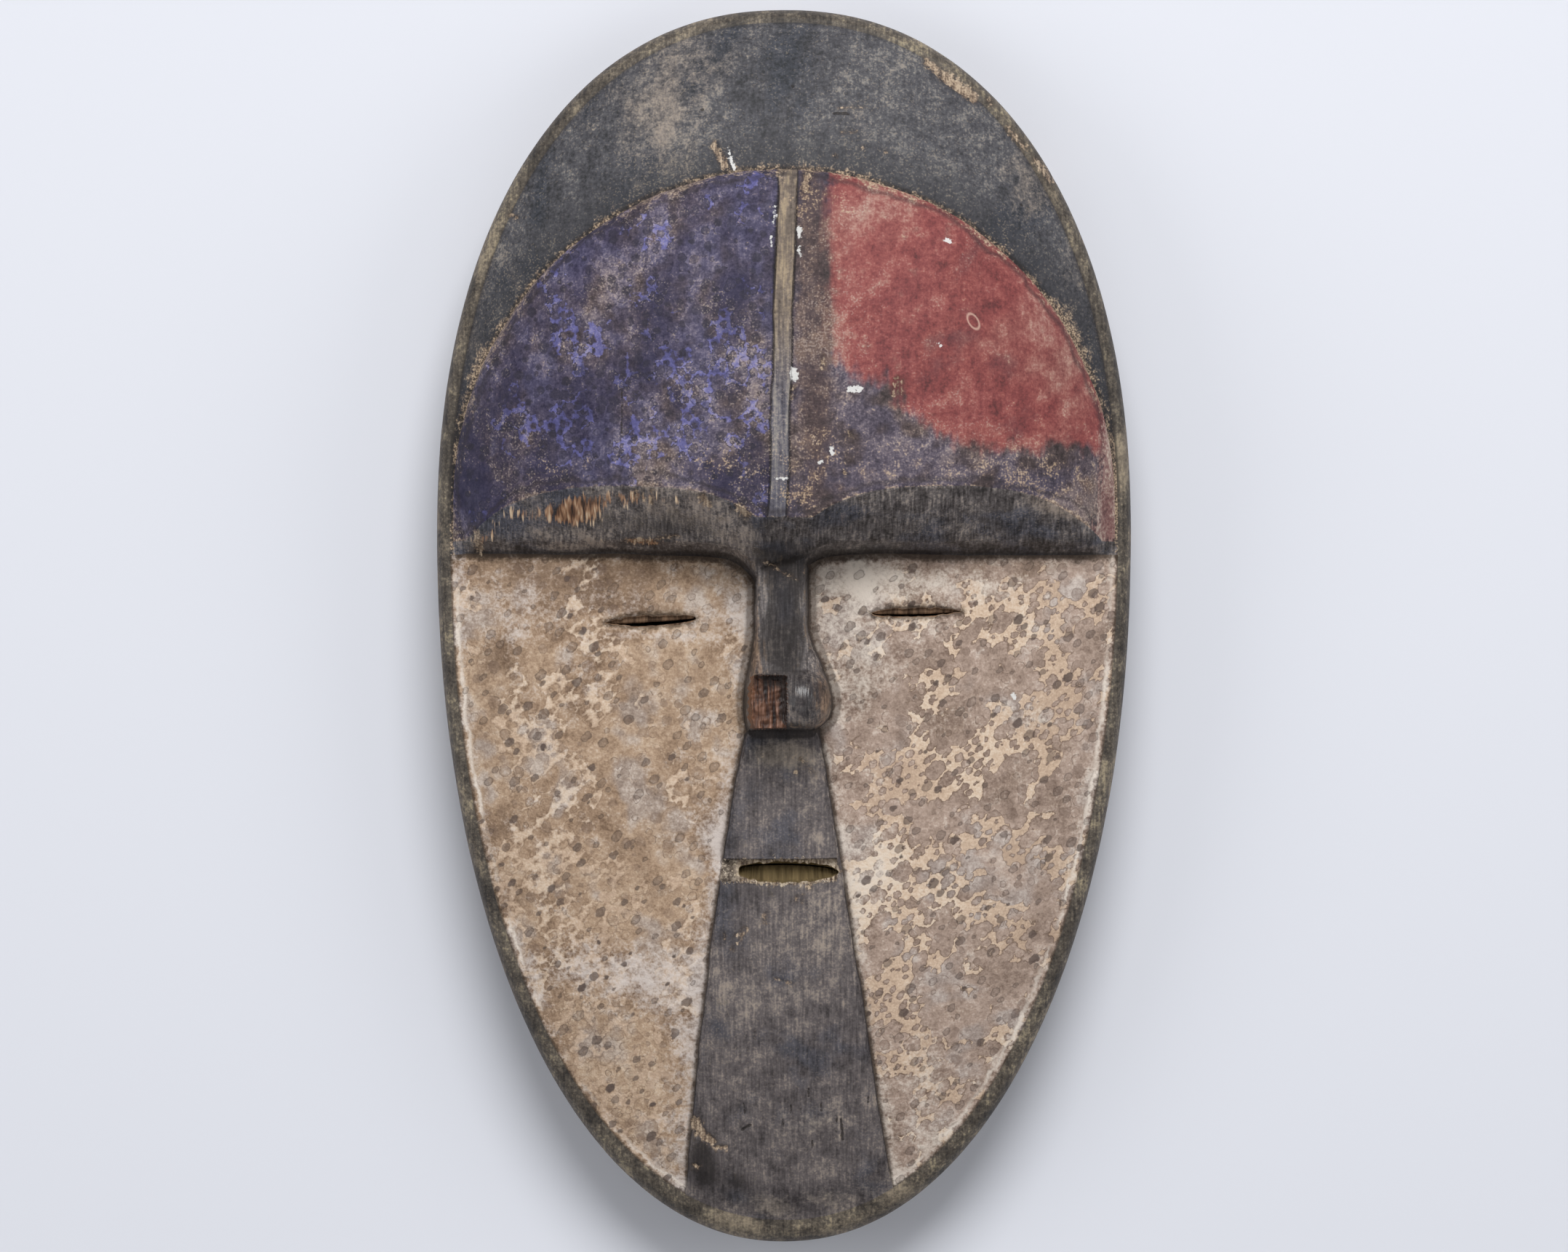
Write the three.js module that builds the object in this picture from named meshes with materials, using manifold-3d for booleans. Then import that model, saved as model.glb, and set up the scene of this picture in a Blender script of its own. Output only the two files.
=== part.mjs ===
// A carved wooden face mask, lying face up on the rim of its hollowed back.
// Millimetres. +X is the viewer's right, +Y runs towards the crown and +Z stands out of the face.
// The origin is on the resting plane, under the middle of the outline.
// The mask is one block of wood, so its forms are joined into one closed solid.
import * as THREE from "three";
import { mergeVertices, toCreasedNormals } from "three/addons/utils/BufferGeometryUtils.js";
import Module from "manifold-3d";

const { clamp, lerp, smoothstep, degToRad } = THREE.MathUtils;

// Outline: two half superellipses that share the widest line, which runs through the brow.
const height = 400;
const halfWidth = 112.6;
const widestY = 30;
const crownReach = height / 2 - widestY;
const chinReach = height / 2 + widestY;
const crownPower = 2.2;
const chinPower = 2.1;

// Side wall and shoulder: a rounded edge band between the side wall and the carved front.
const footScale = 0.985;
const shoulderDepth = 7;
const edgeInset = { side: 4.5, crown: 4.5, chin: 7.5 };
const edgeHeight = { side: 41, crown: 36, chin: 33 };

// Crown: a smooth slope that climbs from the edge band to the back of the forehead.
const crown = { rise: 28, power: 4, blend: 30 };

// Forehead: a bulging half disc with a small step round it.
const forehead = {
  centreY: 40,
  radius: 107.2,
  peak: 84,
  step: 2,
  power: 2.2,
  swell: 0.7,
  leastRun: 0.5,
};

// Median bar: a low batten down the middle of the forehead, leaning slightly.
const bar = {
  topY: 140.5,
  footY: 35,
  topX: 1,
  footX: -2,
  width: 6.6,
  rise: 1.8,
  chamfer: 0.5,
  run: 4,
  endSink: 0.3,
};

// Brow: a cliff over the eyes. An arched bevel on either side turns the forehead down to its lip.
const brow = {
  footY: 23,
  lipY: 27.3,
  archRise: 17.5,
  archMidX: 52,
  archHalfSpan: 51,
  archInnerX: 9,
  archPower: 3,
  bevelSlope: 0.7,
  bevelTurn: 0.012,
  rootSlope: 1.1,
  rootInnerX: 9,
  rootOuterX: 26,
  endInnerX: 97,
  endOuterX: 106,
  endTaper: 0.8,
  endTopY: 58,
};

// The corners where the sides of the nose run into the brow are rounded, more so on the left.
const corner = { leftDip: 9, rightDip: 4, reach: 5 };

// Face plane: set back under the brow, fullest round the mouth, falling away to the edge band.
const facePlane = { atBrow: 50, rise: 26, fall: 20, length: 208, power: 3 };

// Nose: a straight bridge that ends in a rolled tip with a flared right wing.
// The left end of the roll is broken off along the grain, which leaves a flat.
const nose = {
  rootY: 18,
  rootHeight: 66,
  rootRun: 3,
  bridgeY: -14,
  bridgeHeight: 79,
  bridgePower: 1.2,
  crownDrop: 1.6,
  crownPower: 4,
  rollY: -24.4,
  rollHalfLength: 9.2,
  rollRise: 8,
  wingLength: 9,
  wingDrop: 14,
  leftX: -9.7,
  leftFlare: 3.7,
  rightX: 8.2,
  rightFlare: 7.7,
  flareTopY: 2,
  flareFootY: -25,
  closePower: 3,
  closeShare: 0.75,
  wallWidth: 1.2,
  wallTopY: 0,
  tipWallWidth: 3,
  footY: -34,
  footRun: 1,
  breakRightX: 0.9,
  breakTopY: -15.8,
  breakHeight: 77.5,
  breakSize: 30,
};

// Lip band: a low flat wedge that widens from the nose to the chin, notched to the left of the mouth.
const wedge = {
  topY: -31,
  footY: -184,
  leftTopX: -12.4,
  leftFootX: -32,
  leftBow: 2.2,
  rightTopX: 11.4,
  rightFootX: 35.6,
  rise: 3,
  wallWidth: 1.1,
  fadeShare: 0.05,
  footGap: 0.8,
  bendPower: 2,
};
const mouthBand = { topY: -75, footY: -82.8, rightX: 17.2, wallWidth: 0.9 };

// How deep the foot of each raised form is sunk in the block, and the level where the form ends inside it.
const sunk = { forehead: 0.5, bar: 0.6, nose: 1, wedge: 0.5 };
const floorLevel = { forehead: 25, bar: 49, nose: 41, wedge: 21 };

// Openings cut right through the wall: two eye slits and the mouth.
// Each end has its own power: a high one draws it out to a point, a low one leaves it blunt.
const slits = [
  { x: -43, y: 1.6, length: 30, width: 3.2, tilt: 4, leftPower: 2, rightPower: 0.9 },
  { x: 42.8, y: 4.3, length: 29, width: 2.6, tilt: 1, leftPower: 0.9, rightPower: 1.8 },
  { x: 1.6, y: -79.2, length: 32, width: 6, tilt: -1, leftPower: 0.55, rightPower: 0.95 },
];
const cutHeight = 130;

// Every cutter starts this far under the resting plane.
const cutFoot = -5;

// Hollow back: a smooth trough behind the face, deeper behind the forehead.
const rimWidth = 10;
const hollow = {
  faceDepth: 41,
  foreheadDepth: 67,
  fromY: 20,
  toY: 85,
  crownFromY: 90,
  crownToY: 150,
  crownDrop: 9,
  power: 3.4,
  arch: 0.48,
};

// Mesh density.
const slitSteps = 9;
const ringSegments = 112;
const frontShares = [0.965, 0.9, 0.81, 0.7, 0.57, 0.42, 0.25];
const shoulderSteps = 3;
const hollowShares = [1, 0.97, 0.91, 0.82, 0.7, 0.55, 0.37, 0.18];
const foreheadColumns = 44;
const columnBunching = 0.25;
const bevelRows = 3;
const foreheadRows = 15;
const barRows = 14;
const noseRows = [4, 7, 11, 1];
const noseColumns = [3, 5];
const wedgeRows = [18, 1, 1, 1, 6];
const wedgeColumns = [2, 3];
const weldDistance = 1e-4;
const mergeDistance = 0.05;
const creaseAngle = 32;

// Point on a ring of the outline at a turning angle, with the given amounts off its three half axes.
function ringPoint(angle, inset) {
  const c = Math.cos(angle);
  const s = Math.sin(angle);
  const power = s >= 0 ? crownPower : chinPower;
  const reach = s >= 0 ? crownReach - inset.crown : chinReach - inset.chin;
  const x = (halfWidth - inset.side) * Math.sign(c) * Math.pow(Math.abs(c), 2 / power);
  return [x, widestY + reach * Math.sign(s) * Math.pow(Math.abs(s), 2 / power)];
}

// How far out a point lies on a ring: 0 at the middle of the widest line, 1 on the ring.
function ringShare(x, y, inset) {
  const up = y >= widestY;
  const power = up ? crownPower : chinPower;
  const reach = up ? crownReach - inset.crown : chinReach - inset.chin;
  const across = Math.pow(Math.abs(x) / (halfWidth - inset.side), power);
  return Math.pow(across + Math.pow(Math.abs(y - widestY) / reach, power), 1 / power);
}

function edgeZ(y) {
  const up = y >= widestY;
  const t = Math.abs(y - widestY) / (up ? crownReach : chinReach);
  return lerp(edgeHeight.side, up ? edgeHeight.crown : edgeHeight.chin, Math.min(1, t * t));
}

function crownZ(x, y) {
  const share = ringShare(x, y, edgeInset);
  return edgeZ(y) + crown.rise * Math.max(0, 1 - Math.pow(share, crown.power));
}

function faceZ(x, y) {
  const t = (brow.footY - y) / facePlane.length;
  const middle = facePlane.atBrow + facePlane.rise * t - facePlane.fall * t * t;
  const full = Math.max(0, 1 - Math.pow(ringShare(x, y, edgeInset), facePlane.power));
  return edgeZ(y) + (middle - edgeZ(y)) * full;
}

// The forehead swells from a step round its edge up to its peak over the nose.
function foreheadZ(x, y) {
  const up = Math.max(0, y - forehead.centreY);
  const share = Math.min(1, Math.hypot(x, up) / forehead.radius);
  const reach = Math.max(weldDistance, Math.hypot(x, up));
  const rimX = up > 0 ? (forehead.radius * x) / reach : forehead.radius;
  const rimY = up > 0 ? forehead.centreY + (forehead.radius * up) / reach : y;
  const base = crownZ(rimX, rimY) + forehead.step;
  return base + (forehead.peak - base) * Math.pow(1 - Math.pow(share, forehead.power), forehead.swell);
}

// The line where the forehead turns into the bevel of the brow.
function archY(x) {
  const t = Math.abs(Math.max(Math.abs(x), brow.archInnerX) - brow.archMidX) / brow.archHalfSpan;
  return brow.lipY + brow.archRise * Math.max(0, 1 - Math.pow(t, brow.archPower));
}

function cornerDip(x) {
  const gap = Math.max(0, nose.leftX - x, x - nose.rightX);
  const side = smoothstep(x, nose.leftX, nose.rightX);
  return lerp(corner.leftDip, corner.rightDip, side) * Math.exp(-gap / corner.reach);
}

const browFootY = (x) => brow.footY - cornerDip(x);
const browLipY = (x) => brow.lipY - cornerDip(x);

// Forehead and bevel together; the outer ends of the brow sink towards the edge band.
function browZ(x, y) {
  const drop = Math.max(0, archY(x) - y);
  const bevel = brow.bevelSlope * drop + brow.bevelTurn * drop * drop;
  const toBevel = smoothstep(Math.abs(x), brow.rootInnerX, brow.rootOuterX);
  const z = foreheadZ(x, y + drop) - lerp(brow.rootSlope * drop, bevel, toBevel);
  const end = smoothstep(Math.abs(x), brow.endInnerX, brow.endOuterX);
  const sink = brow.endTaper * end * (1 - smoothstep(y, brow.lipY, brow.endTopY));
  return lerp(z, Math.min(z, faceZ(x, y)), sink);
}

// Feet of the walls of the nose. The wings flare out towards the roll and close in round its end.
function noseFootX(y, side) {
  const flare = 1 - smoothstep(y, nose.flareFootY, nose.flareTopY);
  const close = Math.pow(clamp((nose.rollY - y) / (nose.rollY - nose.footY), 0, 1), nose.closePower);
  if (side < 0) return nose.leftX - nose.leftFlare * flare + close;
  return nose.rightX + nose.rightFlare * (flare - close * nose.closeShare);
}

function noseWall(y, side) {
  if (side > 0) return nose.wallWidth;
  return lerp(nose.tipWallWidth, nose.wallWidth, smoothstep(y, nose.rollY, nose.wallTopY));
}

function noseZ(x, y) {
  const t = clamp((nose.rootY - y) / (nose.rootY - nose.bridgeY), 0, 1);
  const roll = Math.sqrt(Math.max(0, 1 - Math.pow((y - nose.rollY) / nose.rollHalfLength, 2)));
  const right = noseFootX(y, 1);
  const across = clamp(x / (x < 0 ? -noseFootX(y, -1) : right), 0, 1);
  const round = clamp((x - right + nose.wingLength) / nose.wingLength, 0, 1);
  const bridge = lerp(nose.rootHeight, nose.bridgeHeight, Math.pow(t, nose.bridgePower));
  const toWing = smoothstep(-y, -nose.flareTopY, -nose.rollY);
  const wing = toWing * nose.wingDrop * (1 - Math.sqrt(1 - round * round));
  return bridge + nose.rollRise * roll - nose.crownDrop * Math.pow(across, nose.crownPower) - wing;
}

function wedgeFootX(y, side) {
  const t = (wedge.topY - y) / (wedge.topY - wedge.footY);
  if (side > 0) return lerp(wedge.rightTopX, wedge.rightFootX, t);
  return lerp(wedge.leftTopX, wedge.leftFootX, t) - wedge.leftBow * Math.sin(Math.PI * clamp(t, 0, 1));
}

// The lip band stands above the face except in the notch round the mouth and where it dies at the chin.
function wedgeZ(x, y) {
  const fade = smoothstep(1 - ringShare(x, y, edgeInset), 0, wedge.fadeShare);
  const intoY = Math.min(mouthBand.topY - y, y - mouthBand.footY) / mouthBand.wallWidth;
  const intoX = (mouthBand.rightX - x) / mouthBand.wallWidth;
  const notch = clamp(Math.min(intoX, intoY), 0, 1);
  return faceZ(x, y) + wedge.rise * fade * (1 - notch);
}

// Splits the stretch between each two neighbouring stops into the number of steps given for it.
function stations(stops, counts) {
  const values = [stops[0]];
  counts.forEach((count, k) => {
    for (let n = 1; n <= count; n++) values.push(lerp(stops[k], stops[k + 1], n / count));
  });
  return values;
}

function closedGeometry(points, faces) {
  const geometry = new THREE.BufferGeometry();
  geometry.setAttribute("position", new THREE.Float32BufferAttribute(points.flat(), 3));
  geometry.setIndex(faces.flat());
  return geometry;
}

// Solid under a grid of points: rows run along +Y, the points of a row run along +X.
function slab(rows, floorZ) {
  const width = rows[0].length;
  const top = rows.flat();
  const points = [...top, ...top.map(([x, y]) => [x, y, floorZ])];
  const under = top.length;
  const faces = [];
  for (let r = 0; r + 1 < rows.length; r++) {
    for (let c = 0; c + 1 < width; c++) {
      const a = r * width + c;
      const b = a + 1;
      const d = a + width;
      const e = d + 1;
      faces.push([a, b, e], [a, e, d]);
      faces.push([under + a, under + e, under + b], [under + a, under + d, under + e]);
    }
  }
  const wall = (a, b) => faces.push([a, under + a, under + b], [a, under + b, b]);
  const last = (rows.length - 1) * width;
  for (let c = 0; c + 1 < width; c++) {
    wall(c, c + 1);
    wall(last + c + 1, last + c);
  }
  for (let r = 0; r + 1 < rows.length; r++) {
    wall((r + 1) * width, r * width);
    wall(r * width + width - 1, (r + 1) * width + width - 1);
  }
  return closedGeometry(points, faces);
}

// Solid of stacked rings, closed by a flat fan at the bottom and by a fan round the apex on top.
function stack(rings, floor, apex) {
  const width = rings[0].length;
  const points = [...rings.flat(), floor, apex];
  const floorIndex = points.length - 2;
  const apexIndex = points.length - 1;
  const faces = [];
  for (let n = 0; n < width; n++) {
    const m = (n + 1) % width;
    for (let r = 0; r + 1 < rings.length; r++) {
      const a = r * width;
      faces.push([a + n, a + m, a + width + m], [a + n, a + width + m, a + width + n]);
    }
    const last = (rings.length - 1) * width;
    faces.push([floorIndex, m, n], [apexIndex, last + n, last + m]);
  }
  return closedGeometry(points, faces);
}

const angles = Array.from({ length: ringSegments }, (_, n) => (2 * Math.PI * n) / ringSegments);

function ringAt(insetShare, zAt, scale = 1) {
  const inset = {
    side: edgeInset.side * insetShare,
    crown: edgeInset.crown * insetShare,
    chin: edgeInset.chin * insetShare,
  };
  return angles.map((angle) => {
    const [x, y] = ringPoint(angle, inset);
    const px = x * scale;
    const py = y * scale;
    return [px, py, zAt(px, py)];
  });
}

// Block: foot of the side wall, its top, the rounded shoulder, and the face and crown surfaces.
function blockGeometry() {
  const rings = [ringAt(0, () => 0, footScale)];
  for (let n = 0; n <= shoulderSteps; n++) {
    const turn = (Math.PI / 2) * (n / shoulderSteps);
    const drop = shoulderDepth * (1 - Math.sin(turn));
    rings.push(ringAt(1 - Math.cos(turn), (x, y) => edgeZ(y) - drop));
  }
  const toCrown = (y) => smoothstep(y, brow.lipY, brow.lipY + crown.blend);
  const surface = (x, y) => lerp(faceZ(x, y), crownZ(x, y), toCrown(y));
  for (const share of frontShares) {
    const ring = angles.map((angle) => {
      const [x, y] = ringPoint(angle, edgeInset);
      return [x * share, widestY + (y - widestY) * share];
    });
    rings.push(ring.map(([x, y]) => [x, y, surface(x, y)]));
  }
  return stack(rings, [0, widestY, 0], [0, widestY, surface(0, widestY)]);
}

// Hollow: stacked rings inside the rim, up to the vault behind the face.
function hollowGeometry() {
  const inset = { side: rimWidth, crown: rimWidth, chin: rimWidth };
  const vault = (y) => {
    const depth = lerp(hollow.faceDepth, hollow.foreheadDepth, smoothstep(y, hollow.fromY, hollow.toY));
    return depth - hollow.crownDrop * smoothstep(y, hollow.crownFromY, hollow.crownToY);
  };
  const rings = [angles.map((angle) => [...ringPoint(angle, inset), cutFoot])];
  for (const share of hollowShares) {
    const rise = Math.pow(1 - Math.pow(share, hollow.power), hollow.arch);
    rings.push(
      angles.map((angle) => {
        const [rx, ry] = ringPoint(angle, inset);
        const x = rx * share;
        const y = widestY + (ry - widestY) * share;
        return [x, y, vault(y) * rise];
      }),
    );
  }
  return stack(rings, [0, widestY, cutFoot], [0, widestY, vault(widestY)]);
}

// Forehead: columns fan out from the foot of the brow over lip and arch to the round of the disc.
function foreheadGeometry() {
  const rows = [];
  const side = forehead.radius;
  const brows = stations([-1, 1], [foreheadColumns]).map((t) => {
    return lerp(t, Math.sin((t * Math.PI) / 2), columnBunching) * side;
  });
  rows.push(brows.map((x) => [x, browFootY(x), faceZ(x, browFootY(x)) - sunk.forehead]));
  rows.push(brows.map((x) => [x, browLipY(x), browZ(x, browLipY(x))]));
  for (let n = 1; n <= bevelRows; n++) {
    rows.push(
      brows.map((x) => {
        const y = lerp(browLipY(x), archY(x), n / bevelRows);
        return [x, y, browZ(x, y)];
      }),
    );
  }
  for (let n = 1; n <= foreheadRows; n++) {
    const t = Math.sin(((n / foreheadRows) * Math.PI) / 2);
    rows.push(
      brows.map((x) => {
        const turn = Math.asin(clamp(x / side, -1, 1));
        const rimY = forehead.centreY + side * Math.cos(turn);
        const y = lerp(archY(x), Math.max(rimY, archY(x) + forehead.leastRun), t);
        return [x, y, browZ(x, y)];
      }),
    );
  }
  return slab(rows, floorLevel.forehead);
}

function barGeometry() {
  const ys = stations([bar.footY - bar.run, bar.topY + bar.run], [barRows]);
  const rows = ys.map((y) => {
    const middle = lerp(bar.footX, bar.topX, (y - bar.footY) / (bar.topY - bar.footY));
    const half = bar.width / 2;
    const fromFoot = smoothstep(y, bar.footY - bar.run, bar.footY);
    const full = fromFoot * (1 - smoothstep(y, bar.topY, bar.topY + bar.run));
    const xs = [-half, -half + bar.chamfer, 0, half - bar.chamfer, half];
    return xs.map((dx, k) => {
      const atFoot = k === 0 || k === xs.length - 1;
      const rise = atFoot ? -sunk.bar : lerp(-bar.endSink, bar.rise, full);
      return [middle + dx, y, browZ(middle + dx, y) + rise];
    });
  });
  return slab(rows, floorLevel.bar);
}

function noseGeometry() {
  const { rootY, rootRun, bridgeY, footY, footRun, wingLength } = nose;
  const stops = [brow.lipY + rootRun, rootY, bridgeY, footY + footRun, footY];
  const rows = stations(stops, noseRows).map((y) => {
    const left = noseFootX(y, -1);
    const right = noseFootX(y, 1);
    const innerLeft = left + noseWall(y, -1);
    const innerRight = right - noseWall(y, 1);
    const xs = stations([innerLeft, right - wingLength, innerRight], noseColumns);
    const foot = (x) => [x, y, faceZ(x, y) - sunk.nose];
    const tops = xs.map((x) => (y <= footY ? foot(x) : [x, y, noseZ(x, y)]));
    return [foot(left), ...tops, foot(right)];
  });
  return slab(rows.reverse(), floorLevel.nose);
}

function breakGeometry() {
  const { breakSize, breakRightX, breakTopY, breakHeight } = nose;
  const box = new THREE.BoxGeometry(breakSize, breakSize, breakSize);
  const half = breakSize / 2;
  return box.translate(breakRightX - half, breakTopY - half, breakHeight + half);
}

// Height on the edge line at a given distance from the middle, on the chin side.
function chinEdgeY(x) {
  const across = Math.pow(Math.abs(x) / (halfWidth - edgeInset.side), chinPower);
  return widestY - (chinReach - edgeInset.chin) * Math.pow(1 - across, 1 / chinPower);
}

// The lowest rows of the lip band bend to follow the edge band round the chin.
function wedgeGeometry() {
  const { topY, footY, wallWidth } = mouthBand;
  const stops = [wedge.footY, footY, footY + wallWidth, topY - wallWidth, topY, wedge.topY];
  const rows = stations(stops, wedgeRows).map((rowY) => {
    const left = wedgeFootX(rowY, -1);
    const right = wedgeFootX(rowY, 1);
    const middle = lerp(left, mouthBand.rightX, 0.5);
    const xs = stations([left + wedge.wallWidth, middle, right - wedge.wallWidth], wedgeColumns);
    const toEdge = Math.pow(Math.max(0, (footY - rowY) / (footY - wedge.footY)), wedge.bendPower);
    const bend = (x) => lerp(rowY, chinEdgeY(x) + wedge.footGap, toEdge);
    const tops = xs.map((x) => [x, bend(x), wedgeZ(x, bend(x))]);
    const foot = (x) => [x, bend(x), faceZ(x, bend(x)) - sunk.wedge];
    return [foot(left), ...tops, foot(right)];
  });
  return slab(rows, floorLevel.wedge);
}

// Lens-shaped prism for an opening.
function slitGeometry({ x, y, length, width, tilt, leftPower, rightPower }) {
  const shape = new THREE.Shape();
  const turns = Array.from({ length: 4 * slitSteps }, (_, n) => (Math.PI * n) / (2 * slitSteps));
  turns.forEach((turn, n) => {
    const s = Math.sin(turn);
    const px = (length / 2) * Math.cos(turn);
    const power = px < 0 ? leftPower : rightPower;
    const py = (width / 2) * Math.sign(s) * Math.pow(Math.abs(s), power);
    n ? shape.lineTo(px, py) : shape.moveTo(px, py);
  });
  const prism = new THREE.ExtrudeGeometry(shape, { depth: cutHeight, bevelEnabled: false });
  return prism.rotateZ(degToRad(tilt)).translate(x, y, cutFoot);
}

const wasm = await Module();
wasm.setup();

function toSolid(geometry) {
  geometry.deleteAttribute("normal");
  geometry.deleteAttribute("uv");
  const welded = mergeVertices(geometry, weldDistance);
  return new wasm.Manifold(
    new wasm.Mesh({
      numProp: 3,
      vertProperties: new Float32Array(welded.attributes.position.array),
      triVerts: new Uint32Array(welded.index.array),
    }),
  );
}

const raised = [foreheadGeometry(), barGeometry(), noseGeometry(), wedgeGeometry()];
let body = raised.reduce((solid, geometry) => solid.add(toSolid(geometry)), toSolid(blockGeometry()));
for (const cutter of [hollowGeometry(), breakGeometry(), ...slits.map(slitGeometry)]) {
  body = body.subtract(toSolid(cutter));
}

const result = body.simplify(mergeDistance).getMesh();
const surface = new THREE.BufferGeometry();
surface.setAttribute("position", new THREE.Float32BufferAttribute(result.vertProperties, 3));
surface.setIndex(new THREE.Uint32BufferAttribute(result.triVerts, 1));

const darkWood = new THREE.MeshStandardMaterial({ color: 0x6b5c50, roughness: 0.82, metalness: 0 });
const mask = new THREE.Mesh(toCreasedNormals(surface, degToRad(creaseAngle)), darkWood);
mask.name = "mask";

const part = new THREE.Group();
part.name = "carved-wooden-face-mask";
part.add(mask);

export default part;
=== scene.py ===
import math
import time
from functools import partial
from types import SimpleNamespace

import bpy
import numpy as np
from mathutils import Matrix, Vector
from mathutils.geometry import delaunay_2d_cdt


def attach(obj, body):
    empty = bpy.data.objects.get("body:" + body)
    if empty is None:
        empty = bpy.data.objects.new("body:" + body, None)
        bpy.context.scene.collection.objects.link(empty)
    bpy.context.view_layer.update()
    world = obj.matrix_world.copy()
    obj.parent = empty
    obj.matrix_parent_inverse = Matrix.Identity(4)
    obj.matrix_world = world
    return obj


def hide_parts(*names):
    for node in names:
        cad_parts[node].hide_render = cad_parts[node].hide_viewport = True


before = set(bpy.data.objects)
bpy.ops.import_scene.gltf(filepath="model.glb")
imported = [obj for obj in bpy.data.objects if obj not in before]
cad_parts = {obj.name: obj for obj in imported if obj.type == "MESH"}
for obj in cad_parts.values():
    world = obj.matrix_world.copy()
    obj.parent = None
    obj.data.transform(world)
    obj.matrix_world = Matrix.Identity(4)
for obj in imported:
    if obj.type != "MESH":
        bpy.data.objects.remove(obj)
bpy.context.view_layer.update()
startTime = time.time()


def report(stage):
    print(f"{stage} ({time.time() - startTime:.1f} s)")


# The block of wood, in millimetres: the same forms as the solid part, cut finer and worn.
block = {
    "height": 400.0, "halfWidth": 112.6, "widestY": 30.0, "crownPower": 2.2, "chinPower": 2.1,
    "footScale": 0.985, "shoulderDepth": 7.0, "rimWidth": 10.0,
    "insetSide": 4.5, "insetCrown": 4.5, "insetChin": 7.5,
    "edgeSide": 41.0, "edgeCrown": 36.0, "edgeChin": 33.0,
    "crownRise": 28.0, "crownRisePower": 4.0,
}
forehead = {
    "centreY": 40.0, "radius": 107.2, "peak": 84.0, "step": 2.0, "stepRun": 0.7, "power": 2.2, "swell": 0.7,
}
bar = {
    "topY": 140.5, "footY": 35.0, "topX": 1.0, "footX": -2.0,
    "width": 6.6, "rise": 1.8, "chamfer": 0.5, "endRun": 4.0,
}
brow = {
    "footY": 23.0, "lipY": 27.3, "archRise": 17.5, "archMidX": 52.0, "archHalfSpan": 51.0, "archInnerX": 9.0,
    "archPower": 3.0, "bevelSlope": 0.7, "bevelTurn": 0.012,
    "rootSlope": 1.1, "rootInnerX": 9.0, "rootOuterX": 26.0,
    "endInnerX": 97.0, "endOuterX": 106.0, "endTaper": 0.8, "endTopY": 58.0,
    "leftDip": 9.0, "rightDip": 4.0, "dipReach": 5.0,
}
face = {"atBrow": 50.0, "rise": 26.0, "fall": 20.0, "length": 208.0, "power": 3.0}
nose = {
    "rootY": 18.0, "rootHeight": 66.0, "bridgeY": -14.0, "bridgeHeight": 79.0, "crownDrop": 1.6,
    "rollY": -24.4, "rollHalfLength": 9.2, "rollRise": 8.0, "wingLength": 9.0, "wingDrop": 14.0,
    "leftX": -9.7, "leftFlare": 3.7, "rightX": 8.2, "rightFlare": 7.7, "flareTopY": 2.0, "flareFootY": -25.0,
    "wallWidth": 1.2, "tipWallWidth": 3.0, "footY": -34.0,
    "closeShare": 0.75, "breakRightX": 0.9, "breakTopY": -15.8, "breakHeight": 77.5, "breakRun": 0.8,
    "breakWear": 1.6, "wearWidth": 3.2,
}
lipBand = {
    "topY": -31.0, "footY": -184.0, "leftTopX": -12.4, "leftFootX": -32.0, "leftBow": 2.2, "rightTopX": 11.4,
    "rightFootX": 35.6, "rise": 3.0, "wallWidth": 1.1, "fadeShare": 0.05,
    "notchTopY": -75.0, "notchFootY": -82.8, "notchRightX": 17.2, "notchRun": 0.9,
}
hollow = {
    "faceDepth": 41.0, "foreheadDepth": 67.0, "fromY": 20.0, "toY": 85.0,
    "crownFromY": 90.0, "crownToY": 150.0, "crownDrop": 9.0, "power": 3.4, "arch": 0.48,
}
# Each end has its own power; "groove" is the sloping cut above an eye: length left and right, width, depth.
slits = {
    "leftEye": {
        "x": -43.0, "y": 1.6, "length": 30.0, "width": 3.2, "tilt": 4.0, "leftPower": 2.0, "rightPower": 0.9,
        "ragged": 0.35, "narrow": 0.35, "lean": -0.6, "ledge": 0.5, "groove": (19.0, 15.5, 2.2, 1.5),
    },
    "rightEye": {
        "x": 42.8, "y": 4.3, "length": 29.0, "width": 2.6, "tilt": 1.0, "leftPower": 0.9, "rightPower": 1.8,
        "ragged": 0.3, "narrow": 0.25, "lean": -0.67, "ledge": 0.5, "groove": (15.0, 17.5, 3.0, 1.7),
    },
    "mouth": {
        "x": 1.6, "y": -79.2, "length": 32.0, "width": 6.0, "tilt": -1.0, "leftPower": 0.55,
        "rightPower": 0.95, "ragged": 0.45, "narrow": 0.05, "lean": 0.8, "ledge": 1.0,
        "groove": (0.0, 0.0, 1.0, 0.0),
    },
}


def mix(a, b, t):
    return a + (b - a) * t


def ease(value, low, high):
    t = np.clip((value - low) / (high - low), 0.0, 1.0)
    return t * t * (3.0 - 2.0 * t)


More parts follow.
